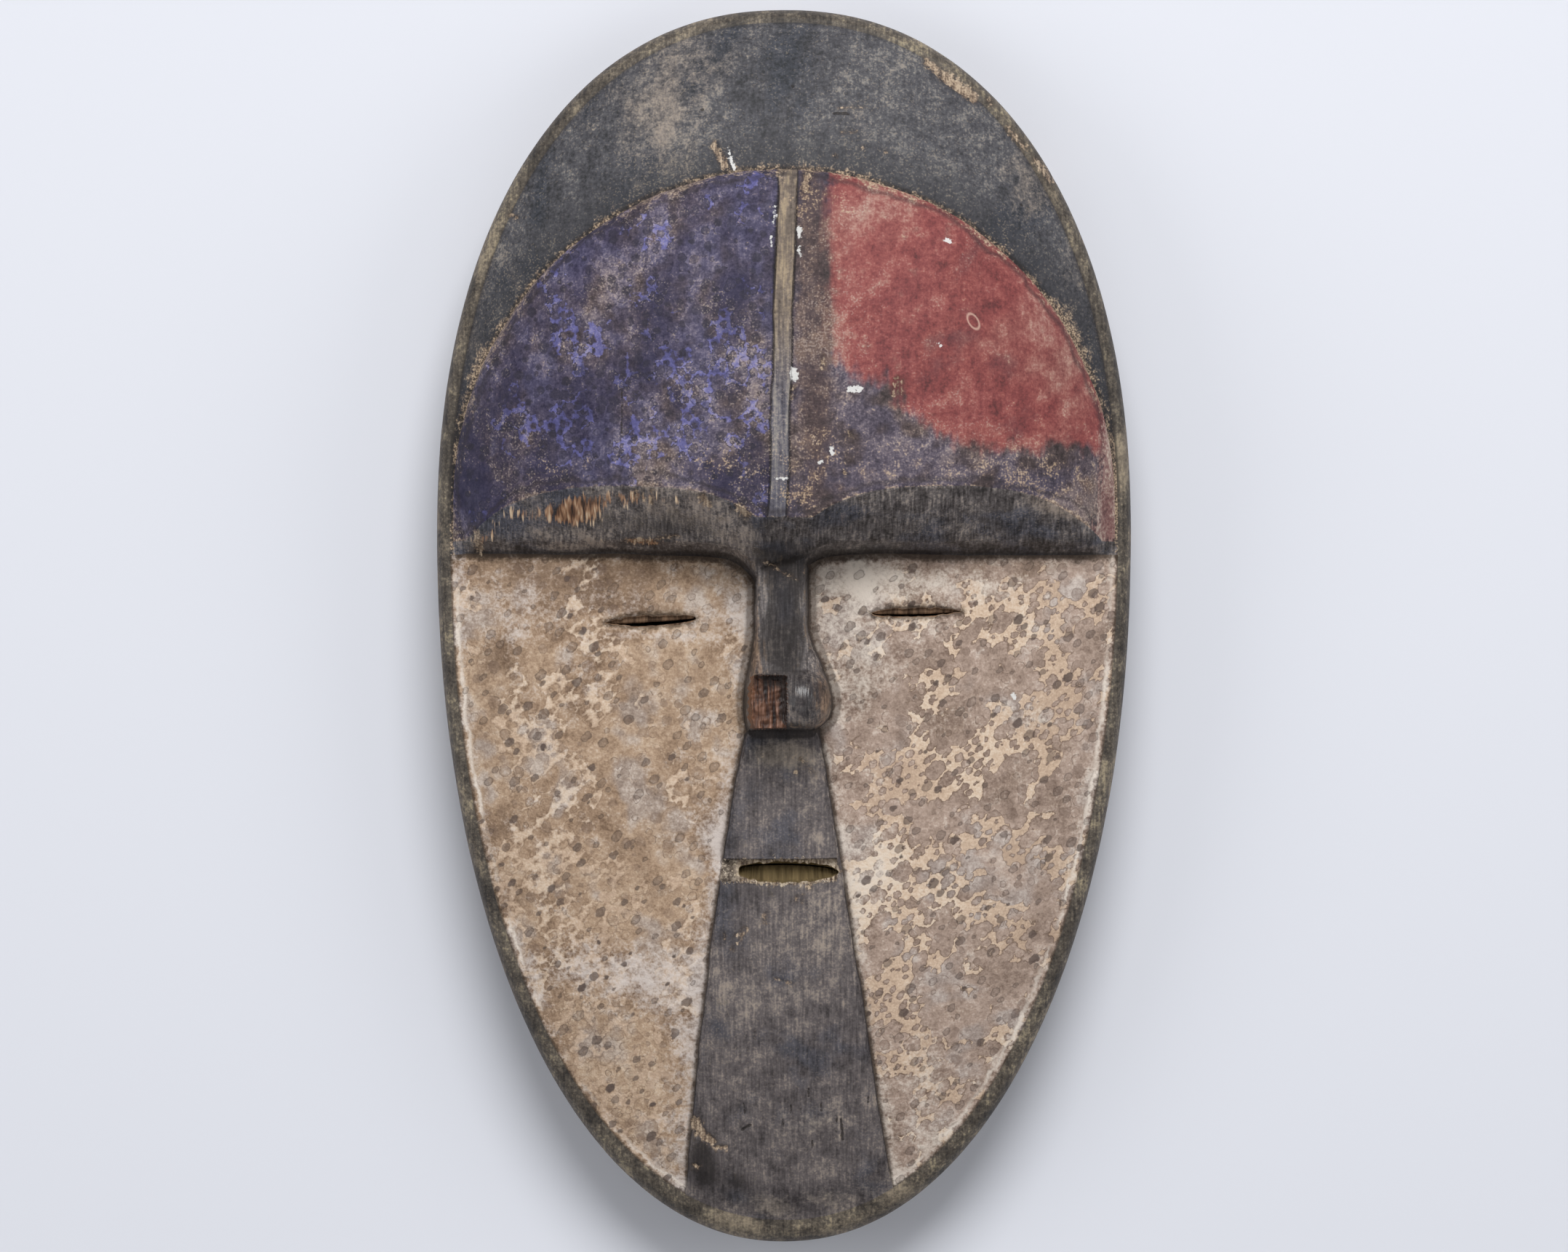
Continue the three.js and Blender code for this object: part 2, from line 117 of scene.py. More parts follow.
def softNoise(x, y, size, seed):  # smooth noise between -1 and 1 with blobs of the given size
    table = np.random.default_rng(seed).uniform(-1.0, 1.0, (64, 64))
    gx, gy = np.asarray(x) / size + 1000.0, np.asarray(y) / size + 1000.0
    ix, iy = np.floor(gx).astype(int), np.floor(gy).astype(int)
    fx, fy = gx - ix, gy - iy
    fx, fy = fx * fx * (3 - 2 * fx), fy * fy * (3 - 2 * fy)
    low = mix(table[ix % 64, iy % 64], table[(ix + 1) % 64, iy % 64], fx)
    high = mix(table[ix % 64, (iy + 1) % 64], table[(ix + 1) % 64, (iy + 1) % 64], fx)
    return mix(low, high, fy)


# patches of several sizes together, each laid at its own angle, about -1 to 1
def mottled(x, y, sizes, seed):
    total, weight = 0.0, 1.0
    for n, size in enumerate(sizes):
        c, s = math.cos(0.7 + 1.9 * n), math.sin(0.7 + 1.9 * n)
        total = total + weight * softNoise(c * x + s * y, c * y - s * x, size, seed + n)
        weight *= 0.7
    return total


def reachOf(y, insetCrown, insetChin):
    half = block["height"] / 2
    up = y >= block["widestY"]
    reach = np.where(up, half - block["widestY"] - insetCrown, half + block["widestY"] - insetChin)
    return reach, np.where(up, block["crownPower"], block["chinPower"])


def ringShare(x, y, inset=None):  # 0 at the middle of the widest line, 1 on the ring
    insets = [block[k] if inset is None else inset for k in ("insetSide", "insetCrown", "insetChin")]
    side, crown, chin = insets
    reach, power = reachOf(y, crown, chin)
    across = (np.abs(x) / (block["halfWidth"] - side)) ** power
    return (across + (np.abs(y - block["widestY"]) / reach) ** power) ** (1 / power)


def ringPoints(angles, side, crown, chin):
    c, s = np.cos(angles), np.sin(angles)
    power = np.where(s >= 0, block["crownPower"], block["chinPower"])
    half = block["height"] / 2
    reach = np.where(s >= 0, half - block["widestY"] - crown, half + block["widestY"] - chin)
    x = (block["halfWidth"] - side) * np.sign(c) * np.abs(c) ** (2 / power)
    return x, block["widestY"] + reach * np.sign(s) * np.abs(s) ** (2 / power)


def edgeZ(y):
    half = block["height"] / 2
    up = y >= block["widestY"]
    t = np.abs(y - block["widestY"]) / np.where(up, half - block["widestY"], half + block["widestY"])
    return mix(block["edgeSide"], np.where(up, block["edgeCrown"], block["edgeChin"]), np.minimum(1.0, t * t))


def crownZ(x, y):
    return edgeZ(y) + block["crownRise"] * np.maximum(0.0, 1.0 - ringShare(x, y) ** block["crownRisePower"])


def faceZ(x, y):
    t = (brow["footY"] - y) / face["length"]
    middle = face["atBrow"] + face["rise"] * t - face["fall"] * t * t
    return edgeZ(y) + (middle - edgeZ(y)) * np.maximum(0.0, 1.0 - ringShare(x, y) ** face["power"])


def plainZ(x, y):
    return mix(faceZ(x, y), crownZ(x, y), ease(y, brow["lipY"], brow["lipY"] + 30.0))


def discReach(x, y):
    return np.hypot(x, np.maximum(0.0, y - forehead["centreY"]))


def foreheadZ(x, y):
    up = np.maximum(0.0, y - forehead["centreY"])
    reach = np.maximum(1e-6, discReach(x, y))
    share = np.minimum(1.0, reach / forehead["radius"])
    rimX = np.where(up > 0, forehead["radius"] * x / reach, forehead["radius"])
    rimY = np.where(up > 0, forehead["centreY"] + forehead["radius"] * up / reach, y)
    base = crownZ(rimX, rimY) + forehead["step"]
    return base + (forehead["peak"] - base) * (1.0 - share ** forehead["power"]) ** forehead["swell"]


def archY(x):
    t = np.abs(np.maximum(np.abs(x), brow["archInnerX"]) - brow["archMidX"]) / brow["archHalfSpan"]
    return brow["lipY"] + brow["archRise"] * np.maximum(0.0, 1.0 - t ** brow["archPower"])


def cornerDip(x):
    gap = np.maximum(0.0, np.maximum(nose["leftX"] - x, x - nose["rightX"]))
    side = ease(x, nose["leftX"], nose["rightX"])
    return mix(brow["leftDip"], brow["rightDip"], side) * np.exp(-gap / brow["dipReach"])


def browFootY(x):
    return brow["footY"] - cornerDip(x)


def browLipY(x):
    return brow["lipY"] - cornerDip(x)


def browZ(x, y):
    drop = np.maximum(0.0, archY(x) - y)
    bevel = brow["bevelSlope"] * drop + brow["bevelTurn"] * drop * drop
    outward = ease(np.abs(x), brow["rootInnerX"], brow["rootOuterX"])
    z = foreheadZ(x, y + drop) - mix(brow["rootSlope"] * drop, bevel, outward)
    end = ease(np.abs(x), brow["endInnerX"], brow["endOuterX"])
    sink = brow["endTaper"] * end * (1.0 - ease(y, brow["lipY"], brow["endTopY"]))
    return mix(z, np.minimum(z, faceZ(x, y)), sink)


def noseFootX(y, side):
    flare = 1.0 - ease(y, nose["flareFootY"], nose["flareTopY"])
    close = np.clip((nose["rollY"] - y) / (nose["rollY"] - nose["footY"]), 0.0, 1.0) ** 3
    if side < 0:
        return nose["leftX"] - nose["leftFlare"] * flare + close
    return nose["rightX"] + nose["rightFlare"] * (flare - close * nose["closeShare"])


def noseWall(y, side):
    if side < 0:
        return mix(nose["tipWallWidth"], nose["wallWidth"], ease(y, nose["rollY"], 0.0))
    return nose["wallWidth"] + 0.0 * y


def noseZ(x, y):
    t = np.clip((nose["rootY"] - y) / (nose["rootY"] - nose["bridgeY"]), 0.0, 1.0)
    roll = np.sqrt(np.maximum(0.0, 1.0 - ((y - nose["rollY"]) / nose["rollHalfLength"]) ** 2))
    left, right = noseFootX(y, -1), noseFootX(y, 1)
    across = np.clip(x / np.where(x < 0, left, right), 0.0, 1.0)
    rounding = np.clip((x - right + nose["wingLength"]) / nose["wingLength"], 0.0, 1.0)
    bridge = mix(nose["rootHeight"], nose["bridgeHeight"], t ** 1.2)
    wing = ease(-y, -nose["flareTopY"], -nose["rollY"]) * (1.0 - np.sqrt(1.0 - rounding ** 2))
    worn = np.clip(1.0 - (x - nose["breakRightX"]) / nose["wearWidth"], 0.0, 1.0) ** 2
    worn = worn * ease(nose["breakTopY"] - y, 0.0, 2.0)
    rounded = bridge + nose["rollRise"] * roll - nose["crownDrop"] * across ** 4
    return rounded - nose["wingDrop"] * wing - nose["breakWear"] * worn


def bandFootX(y, side):
    t = (lipBand["topY"] - y) / (lipBand["topY"] - lipBand["footY"])
    if side > 0:
        return mix(lipBand["rightTopX"], lipBand["rightFootX"], t)
    bow = lipBand["leftBow"] * np.sin(np.pi * np.clip(t, 0.0, 1.0))
    return mix(lipBand["leftTopX"], lipBand["leftFootX"], t) - bow


def barMiddle(y):
    return mix(bar["footX"], bar["topX"], (y - bar["footY"]) / (bar["topY"] - bar["footY"]))


def wallBetween(low, high, share):  # a face below, a form above, and the wall between them
    return np.where(share <= 0.0, low, mix(low, high, np.clip(share, 0.0, 1.0)))


def inNose(x, y):
    left, right = noseFootX(y, -1), noseFootX(y, 1)
    walls = np.minimum((x - left) / noseWall(y, -1), (right - x) / noseWall(y, 1))
    return np.minimum(np.minimum(walls, (y - nose["footY"]) / 1.0), (brow["lipY"] + 3.0 - y) / 2.0)


def inBand(x, y):
    walls = np.minimum(x - bandFootX(y, -1), bandFootX(y, 1) - x) / lipBand["wallWidth"]
    return np.minimum(walls, (lipBand["topY"] - y) / 1.0)


def inNotch(x, y):
    intoY = np.minimum(lipBand["notchTopY"] - y, y - lipBand["notchFootY"]) / lipBand["notchRun"]
    return np.clip(np.minimum(intoY, (lipBand["notchRightX"] - x) / lipBand["notchRun"]), 0.0, 1.0)


def inBrow(x, y):
    up = (y - browFootY(x)) / (browLipY(x) - browFootY(x))
    return np.minimum(up, (forehead["radius"] - discReach(x, y)) / forehead["stepRun"])


def inBar(x, y):
    return (bar["width"] / 2 - np.abs(x - barMiddle(y))) / bar["chamfer"]


def inBreak(x, y):
    return np.minimum(nose["breakRightX"] - x, nose["breakTopY"] - y) / nose["breakRun"]


def grooveDepth(x, y):
    total = 0.0 * x
    for slit in slits.values():
        left, right, width, depth = slit["groove"]
        along, across, above = slitSide(slit, x, y)
        ends = ease(along, -left, -left + 9.0) * (1.0 - ease(along, right - 9.0, right))
        slope = np.clip(1.0 - above / width, 0.0, 1.0) ** 1.4
        total = total + depth * ends * np.where(across > 0, slope, ease(across, -0.9, 0.0))
    return total


def frontZ(x, y):
    low = plainZ(x, y)
    face = faceZ(x, y)
    lipHeight = browZ(x, np.maximum(y, browLipY(x)))
    z = np.maximum(low, wallBetween(low, lipHeight, inBrow(x, y)))
    fade = ease(y, bar["footY"] - bar["endRun"], bar["footY"])
    fade = fade * (1.0 - ease(y, bar["topY"], bar["topY"] + bar["endRun"]))
    z = z + bar["rise"] * fade * np.clip(inBar(x, y), 0.0, 1.0)
    bandFade = ease(1.0 - ringShare(x, y), 0.0, lipBand["fadeShare"])
    band = face + lipBand["rise"] * bandFade * (1.0 - inNotch(x, y))
    z = np.where(y < lipBand["topY"] + 0.5, np.maximum(z, wallBetween(low, band, inBand(x, y))), z)
    tip = np.maximum(z, wallBetween(low, noseZ(x, y), inNose(x, y)))
    broken = inBreak(x, y)
    flat = mix(tip, np.minimum(tip, nose["breakHeight"]), np.clip(broken, 0.0, 1.0))
    tip = np.where(broken > 0, flat, tip)
    return np.where((y < brow["lipY"] + 3.0) & (y > nose["footY"]), tip, z) - grooveDepth(x, y)


def hollowZ(x, y):
    depth = mix(hollow["faceDepth"], hollow["foreheadDepth"], ease(y, hollow["fromY"], hollow["toY"]))
    depth = depth - hollow["crownDrop"] * ease(y, hollow["crownFromY"], hollow["crownToY"])
    share = np.minimum(1.0, ringShare(x, y, block["rimWidth"]))
    return depth * (1.0 - share ** hollow["power"]) ** hollow["arch"]


# Mesh density, in millimetres between neighbouring points, and the sheet on which they are laid out.
density = {
    "front": 1.34, "line": 0.95, "mark": 0.45, "outline": 1.0, "opening": 0.6, "hollow": 3.0, "nearRim": 1.7,
    "wallRows": 15, "rimRows": 4, "shoulder": (74.0, 58.0, 42.0, 26.0, 12.0, 0.0), "keepApart": 0.62,
    "rim": (1.0, 0.9985, 0.993, 0.98, 0.96, 0.93),
}
sheet = {"cell": 0.2, "halfWidth": 130.0, "halfHeight": 220.0}


class Sketch:  # points and lines in the plane, filled from fine to coarse and then triangulated
    def __init__(self):
        self.points, self.edges = [], []
        self.corner = np.array([sheet["halfWidth"], sheet["halfHeight"]])
        self.taken = np.zeros(np.round(2 * self.corner / sheet["cell"]).astype(int), bool)

    def cells(self, pts):
        return ((pts + self.corner) / sheet["cell"]).astype(int)

    def block(self, pts, radius):
        reach = int(round(radius / sheet["cell"]))
        at = self.cells(pts)
        for dx in range(-reach, reach + 1):
            for dy in range(-reach, reach + 1):
                if dx * dx + dy * dy <= reach * reach:
                    self.taken[at[:, 0] + dx, at[:, 1] + dy] = True

    def line(self, pts, closed=False, radius=0.5):
        first = len(self.points)
        self.points.extend(map(tuple, pts))
        last = len(self.points)
        self.edges.extend((n, n + 1) for n in range(first, last - 1))
        if closed:
            self.edges.append((last - 1, first))
        self.block(np.asarray(pts), radius)
        return np.arange(first, last)

    def scatter(self, pts, spacing):
        at = self.cells(pts)
        free = pts[~self.taken[at[:, 0], at[:, 1]]]
        self.points.extend(map(tuple, free))
        if len(free):
            self.block(free, spacing * density["keepApart"])

    def triangles(self):
        result = delaunay_2d_cdt([Vector(p) for p in self.points], self.edges, [], 0, 1e-5)
        verts = np.array([tuple(v) for v in result[0]])
        place = np.zeros(len(self.points), int)
        for n, origins in enumerate(result[3]):
            for origin in origins:
                place[origin] = n
        return verts, np.array(result[2]), place


def lattice(spacing, x0, x1, y0, y1):
    rows = np.arange(y0, y1, spacing * math.sqrt(3) / 2)
    columns = np.arange(x0, x1, spacing)
    x = columns[None, :] + (np.arange(len(rows)) % 2)[:, None] * spacing / 2
    return np.stack([x.ravel(), np.repeat(rows, len(columns))], 1)


def spaced(x, y, step):  # the same curve with evenly spaced points
    along = np.concatenate([[0.0], np.cumsum(np.hypot(np.diff(x), np.diff(y)))])
    at = np.linspace(0.0, along[-1], max(2, int(round(along[-1] / step)) + 1))
    return np.stack([np.interp(at, along, x), np.interp(at, along, y)], 1)


# a point seen from an opening: along it, across it, and how far above its upper lip
def slitSide(slit, x, y):
    c, s = math.cos(math.radians(slit["tilt"])), math.sin(math.radians(slit["tilt"]))
    dx, dy = x - slit["x"], y - slit["y"]
    along, across = c * dx + s * dy, c * dy - s * dx
    reach = np.clip(np.abs(2 * along / slit["length"]), 0.0, 1.0)
    power = np.where(along < 0, slit["leftPower"], slit["rightPower"])
    return along, across, across - slit["width"] / 2 * np.sqrt(1.0 - reach ** 2) ** power


def slitLoop(slit, seed, rough=1.0):
    turn = np.linspace(0, 2 * np.pi, 400, endpoint=False)
    power = np.where(np.cos(turn) < 0, slit["leftPower"], slit["rightPower"])
    lens = np.sign(np.sin(turn)) * np.abs(np.sin(turn)) ** power
    x, y = slit["length"] / 2 * np.cos(turn), slit["width"] / 2 * lens
    loop = spaced(np.append(x, x[0]), np.append(y, y[0]), density["opening"])[:-1]
    ragged = rough * slit["ragged"] * np.clip(np.abs(loop[:, 1]) * 3.0, 0.2, 1.0)
    loop[:, 1] += ragged * softNoise(loop[:, 0] + 50.0 * np.sign(loop[:, 1]), loop[:, 1], 1.3, seed)
    c, s = math.cos(math.radians(slit["tilt"])), math.sin(math.radians(slit["tilt"]))
    x, y = loop.T
    return np.stack([slit["x"] + c * x - s * y, slit["y"] + s * x + c * y], 1)


def insideLoop(pts, loop):
    x, y = pts[:, 0:1], pts[:, 1:2]
    ax, ay = loop[:, 0], loop[:, 1]
    bx, by = np.roll(ax, -1), np.roll(ay, -1)
    crosses = (ay > y) != (by > y)
    hit = x < ax + (bx - ax) * (y - ay) / np.where(by == ay, 1.0, by - ay)
    return (np.sum(crosses & hit, axis=1) % 2) == 1


# What time and use have left on the carving, in mm: each mark is a stroke with two ends and a half width.
wear = {
    "bare": [
        (-6.1, 20.3, -1.9, 18.1, 0.7), (-1.9, 18.1, 4, 15.3, 0.6), (-2.4, -113.6, 2.8, -115.2, 0.5),
        (-16.5, -104.1, -11.8, -97.1, 0.5), (5.2, -42.9, 9.9, -47.6, 0.45), (3.8, -46.9, 3.8, -46.9, 0.9),
        (-22.4, 155, -18.8, 147.7, 1.6), (17.7, 167, 25.7, 167.5, 0.3), (18.4, 159, 23.6, 159.3, 0.4),
        (25.2, 154.1, 25.7, 154.1, 0.5), (32.7, 153.1, 33.2, 153.1, 0.5), (16.5, 151.5, 17, 151, 0.5),
        (46.6, 182.6, 52.3, 177.9, 1.6), (52.3, 177.9, 61.7, 171.3, 2.2), (66.7, 170.3, 67.1, 169.4, 1.2),
        (72.8, 160.7, 78.2, 155, 1.2), (81.8, 151, 86.7, 144.2, 1.5), (-50.9, 27.3, -40.8, 27.6, 0.6),
        (-40.8, 27.8, -34.4, 28.7, 0.9), (-14.6, 37.5, -12.3, 35.1, 1.8), (-26.4, 40.8, -24.5, 38.4, 1.7),
        (-47.6, 43.1, -47.6, 40.8, 0.7), (-45.2, 43.1, -45, 40.3, 0.6), (-42.6, 43.4, -42.4, 39.3, 0.7),
        (-99.4, 29.4, -98, 24.3, 1.8), (8.5, -82.5, 8.2, -84.6, 1), (4.2, -87.2, 3.8, -88.8, 0.6),
        (6.1, -86.9, 5.9, -89.1, 0.6), (-5.9, -92.6, -6.4, -95.4, 0.7), (-16.3, -100.1, -12.5, -97.1, 0.5),
        (-19.1, -98.7, -19.1, -100.6, 0.5), (-28.7, -160.4, -27.3, -163.3, 2.2),
        (-26.4, -164.2, -23.1, -167, 1.8), (-29.2, -174.6, -28.3, -174.6, 1.1),
        (-22.1, -168.9, -18.4, -168.9, 0.9), (35.8, 78.9, 35.1, 73.7, 0.6), (36.8, 79.4, 36.5, 74.7, 0.6),
        (37.7, 78.5, 37.7, 74.2, 0.5), (12.5, 86, 12, 82.7, 0.7), (21.7, 62, 21.7, 61.3, 0.9),
        (19.3, 49, 19.8, 48.5, 0.9), (3.1, 76.1, 3.1, 73.3, 0.8), (7.3, 144.4, 6.4, 140.2, 1.6),
        (-89.1, 133.1, -86.7, 132.2, 0.8),
    ],
    "chalk": [
        (21.2, 75.9, 24.3, 75.9, 1.3), (2.8, 81.8, 3.3, 79.4, 1.5), (4.9, 127.5, 4.9, 125.1, 0.9),
        (4.5, 121.8, 4.7, 119.4, 0.8), (15.3, 56.8, 15.3, 55.4, 0.9), (11.3, 52.3, 12.5, 53, 0.8),
        (-17.7, 153.4, -16.3, 147.2, 0.9), (73.7, -21.7, 74.2, -22.6, 1.3), (-3.1, 46.9, 1.2, 47.1, 0.7),
        (49.7, 90.7, 50.4, 89.8, 0.6), (52.1, 124.2, 53, 123.7, 1.1), (-3.3, 134.5, -3.5, 129.8, 0.7),
        (-4, 125.6, -4.2, 122, 0.5),
    ],
    "pit": [
        (-104.8, 67.1, -104.8, 66.9, 0.9), (2.8, 174.6, 2.8, 174.6, 0.6), (-26.6, 166.8, -26.6, 166.8, 0.6),
        (16.3, 165.2, 21, 165.2, 0.5), (77, 136.6, 77, 136.6, 0.6), (20.3, 138.5, 20.3, 138.5, 0.4),
        (8, -149.6, 8, -152, 0.4), (2.1, -155, 2.1, -157.4, 0.35), (12.3, -154.3, 12.3, -156.7, 0.35),
        (18.8, -159.7, 18.8, -166.3, 0.45), (17.2, -158.6, 17.2, -160.9, 0.35),
        (-13.2, -154.3, -12.7, -157.4, 0.4), (-0.5, -159.7, -0.5, -161.6, 0.35), (9, -166.3, 9, -168.7, 0.35),
        (-13.4, -162.8, -11.3, -161.4, 0.6), (-52.1, 76.1, -52.3, 62, 0.3), (27.6, -152.4, 27.6, -154.1, 0.3),
    ],
}


def markDepth(x, y, marks):  # how far inside the nearest mark a point lies, in mm
    depth = np.full(np.shape(x), -6.0)
    for ax, ay, bx, by, half in marks:
        dx, dy = bx - ax, by - ay
        t = np.clip(((x - ax) * dx + (y - ay) * dy) / max(1e-9, dx * dx + dy * dy), 0.0, 1.0)
        depth = np.maximum(depth, half - np.hypot(x - ax - t * dx, y - ay - t * dy))
    return depth


def softAreas(x, y, areas):  # sum of soft oval areas: middle, half width, half height, strength
    total = np.zeros(np.shape(x))
    for cx, cy, rx, ry, strength in areas:
        total += strength * np.exp(-(((x - cx) / rx) ** 2) - ((y - cy) / ry) ** 2)
    return total


def insideBy(x, y, corners):  # distance inside a closed outline of straight lines, in mm; below 0 outside it
    pts = np.stack([np.ravel(x), np.ravel(y)], 1)
    loop = np.array(corners, float)
    nearest = np.full(len(pts), 1e9)
    for (ax, ay), (bx, by) in zip(loop, np.roll(loop, -1, axis=0)):
        dx, dy = bx - ax, by - ay
        t = np.clip(((pts[:, 0] - ax) * dx + (pts[:, 1] - ay) * dy) / (dx * dx + dy * dy), 0.0, 1.0)
        nearest = np.minimum(nearest, np.hypot(pts[:, 0] - ax - t * dx, pts[:, 1] - ay - t * dy))
    return np.where(insideLoop(pts, loop), nearest, -nearest).reshape(np.shape(x))


loops = [slitLoop(slit, 11 + n) for n, slit in enumerate(slits.values())]
ringAngles = np.linspace(0, 2 * np.pi, 4000, endpoint=False)
ringX, ringY = ringPoints(ringAngles, block["insetSide"], block["insetCrown"], block["insetChin"])
edgeRing = spaced(np.append(ringX, ringX[0]), np.append(ringY, ringY[0]), density["outline"])[:-1]
ringCount = len(edgeRing)
report(f"outline of {ringCount} points")

front = Sketch()
frontRing = front.line(edgeRing, closed=True)
frontLoops = [front.line(loop, closed=True, radius=0.3) for loop in loops]
step = density["line"]


def follow(xs, ys, radius=0.5):  # a carved line, broken where it would run into an opening
    pts = spaced(np.asarray(xs, float), np.asarray(ys, float), step)
    clear = np.ones(len(pts), bool)
    for loop in loops:
        gap = np.hypot(pts[:, None, 0] - loop[None, :, 0], pts[:, None, 1] - loop[None, :, 1]).min(axis=1)
        clear &= (gap > 0.5) & ~insideLoop(pts, loop)
    for run in np.split(np.arange(len(pts)), np.where(np.diff(clear.astype(int)) != 0)[0] + 1):
        if clear[run[0]] and len(run) > 1:
            front.line(pts[run], radius=radius)


# Round of the forehead: the foot and the top of its step.
turn = np.linspace(0.0, np.pi, 400)
for reach in (forehead["radius"], forehead["radius"] - forehead["stepRun"]):
    discX = np.concatenate([[reach], reach * np.cos(turn), [-reach]])
    discY = np.concatenate([[brow["lipY"]], forehead["centreY"] + reach * np.sin(turn), [brow["lipY"]]])
    follow(discX, discY, 0.3)
# Brow: foot and lip of the cliff, and the arched line above them, on each side of the nose.
browEnd = forehead["radius"] - 0.8
for low, high in ((-browEnd, nose["leftX"] - 0.4), (nose["rightX"] + 0.4, browEnd)):
    xs = np.linspace(low, high, 300)
    follow(xs, browFootY(xs))
    follow(xs, browLipY(xs))
xs = np.linspace(-102.0, 102.0, 600)
follow(xs, archY(xs))
# Bar, nose and lip band: the foot and the top of each side.
ys = np.linspace(bar["footY"], bar["topY"] + bar["endRun"], 60)
for side in (-1, 1):
    for inward in (0.0, bar["chamfer"]):
        follow(barMiddle(ys) + side * (bar["width"] / 2 - inward), ys, 0.25)
ys = np.linspace(nose["footY"] + 0.05, brow["footY"] - 5.0, 200)
for side in (-1, 1):
    foot = noseFootX(ys, side)
    follow(foot, ys)
    follow(foot - side * noseWall(ys, side), ys)
for y in (nose["footY"], nose["footY"] + 1.0):
    follow([noseFootX(y, -1) + 0.3, noseFootX(y, 1) - 0.3], [y, y], 0.3)
for inward in (0.0, nose["breakRun"]):
    follow([nose["breakRightX"] - inward] * 2, [nose["footY"] + 1.3, nose["breakTopY"]], 0.2)
    breakLeftX = noseFootX(nose["breakTopY"], -1) + 3.0
    follow([breakLeftX, nose["breakRightX"] - inward], [nose["breakTopY"] - inward] * 2, 0.2)
for side in (-1, 1):
    for inward in (0.0, lipBand["wallWidth"]):
        ys = np.linspace(nose["footY"] - 0.8, lipBand["footY"] + 3.0, 300)
        follow(bandFootX(ys, side) - side * inward, ys)
for y, inner in ((lipBand["notchTopY"], -lipBand["notchRun"]), (lipBand["notchFootY"], lipBand["notchRun"])):
    for inward in (0.0, inner):
        follow([bandFootX(y, -1) + 1.3, lipBand["notchRightX"] - abs(inward)], [y + inward] * 2, 0.3)

# Finer points where a chip, fleck or pit is a real dent, then the rest.
for spacing in (density["mark"], density["front"]):
    pts = lattice(spacing, -112, 112, -200, 200)
    pts = pts[ringShare(pts[:, 0], pts[:, 1]) < 0.997]
    if spacing == density["mark"]:
        nearMark = np.maximum.reduce([markDepth(pts[:, 0], pts[:, 1], marks) for marks in wear.values()])
        beside = [np.abs(slitSide(slit, pts[:, 0], pts[:, 1])[2] - 1.2) < 2.0 for slit in slits.values()]
        within = [np.abs(slitSide(slit, pts[:, 0], pts[:, 1])[0]) < 18.0 for slit in slits.values()]
        pts = pts[(nearMark > -0.8) | np.any(np.array(beside) & np.array(within), axis=0)]
    front.scatter(pts, spacing)
report(f"{len(front.points)} points on the front")
frontPts, frontTris, frontPlace = front.triangles()
centre = frontPts[frontTris].mean(axis=1)
keep = ringShare(centre[:, 0], centre[:, 1]) < 1.0005
for loop in loops:
    keep &= ~insideLoop(centre, loop)
frontTris = frontTris[keep]
report(f"{len(frontTris)} triangles on the front")

# The hollow, filled from a coarser plan that shares its openings with the front.
back = Sketch()
rimShares = density["rim"]
stepX, stepY = np.diff(np.append(ringX, ringX[0])), np.diff(np.append(ringY, ringY[0]))
along = np.concatenate([[0.0], np.cumsum(np.hypot(stepX, stepY))])
evenly = np.linspace(0.0, along[-1], ringCount, endpoint=False)
ringTurns = np.interp(evenly, along, np.append(ringAngles, 2 * np.pi))
rimX, rimY = ringPoints(ringTurns, block["rimWidth"], block["rimWidth"], block["rimWidth"])
innerX, innerY = rimX * rimShares[-1], block["widestY"] + (rimY - block["widestY"]) * rimShares[-1]
backRing = back.line(np.stack([innerX, innerY], 1), closed=True, radius=0.8)
innerLoops = []
for slit in slits.values():
    loop = slitLoop(slit, 0, 0.0)
    c, s = math.cos(math.radians(slit["tilt"])), math.sin(math.radians(slit["tilt"]))
    across = c * (loop[:, 1] - slit["y"]) - s * (loop[:, 0] - slit["x"])
    shift = (slit["narrow"] - 1.0) * across + slit["lean"] * np.abs(across)
    innerLoops.append(np.stack([loop[:, 0] - s * shift, loop[:, 1] + c * shift], 1))
backLoops = [back.line(loop, closed=True, radius=0.8) for loop in innerLoops]
for spacing, low, high in ((density["nearRim"], 0.86, 0.92), (density["hollow"], 0.0, 0.88)):
    pts = lattice(spacing, -110, 110, -200, 200)
    share = ringShare(pts[:, 0], pts[:, 1], block["rimWidth"])
    back.scatter(pts[(share > low) & (share < high)], spacing)
backPts, backTris, backPlace = back.triangles()
centre = backPts[backTris].mean(axis=1)
keep = ringShare(centre[:, 0], centre[:, 1], block["rimWidth"]) < rimShares[-1] + 0.0005
for loop in innerLoops:
    keep &= ~insideLoop(centre, loop)
backTris = backTris[keep]
report(f"{len(backTris)} triangles in the hollow")


def facing(pts, tris, up):  # turns triangles to face up or down
    a, b, c = pts[tris[:, 0]], pts[tris[:, 1]], pts[tris[:, 2]]
    area = (b[:, 0] - a[:, 0]) * (c[:, 1] - a[:, 1]) - (b[:, 1] - a[:, 1]) * (c[:, 0] - a[:, 0])
    turned = tris[:, ::-1]
    return np.where(((area > 0) == up)[:, None], tris, turned)


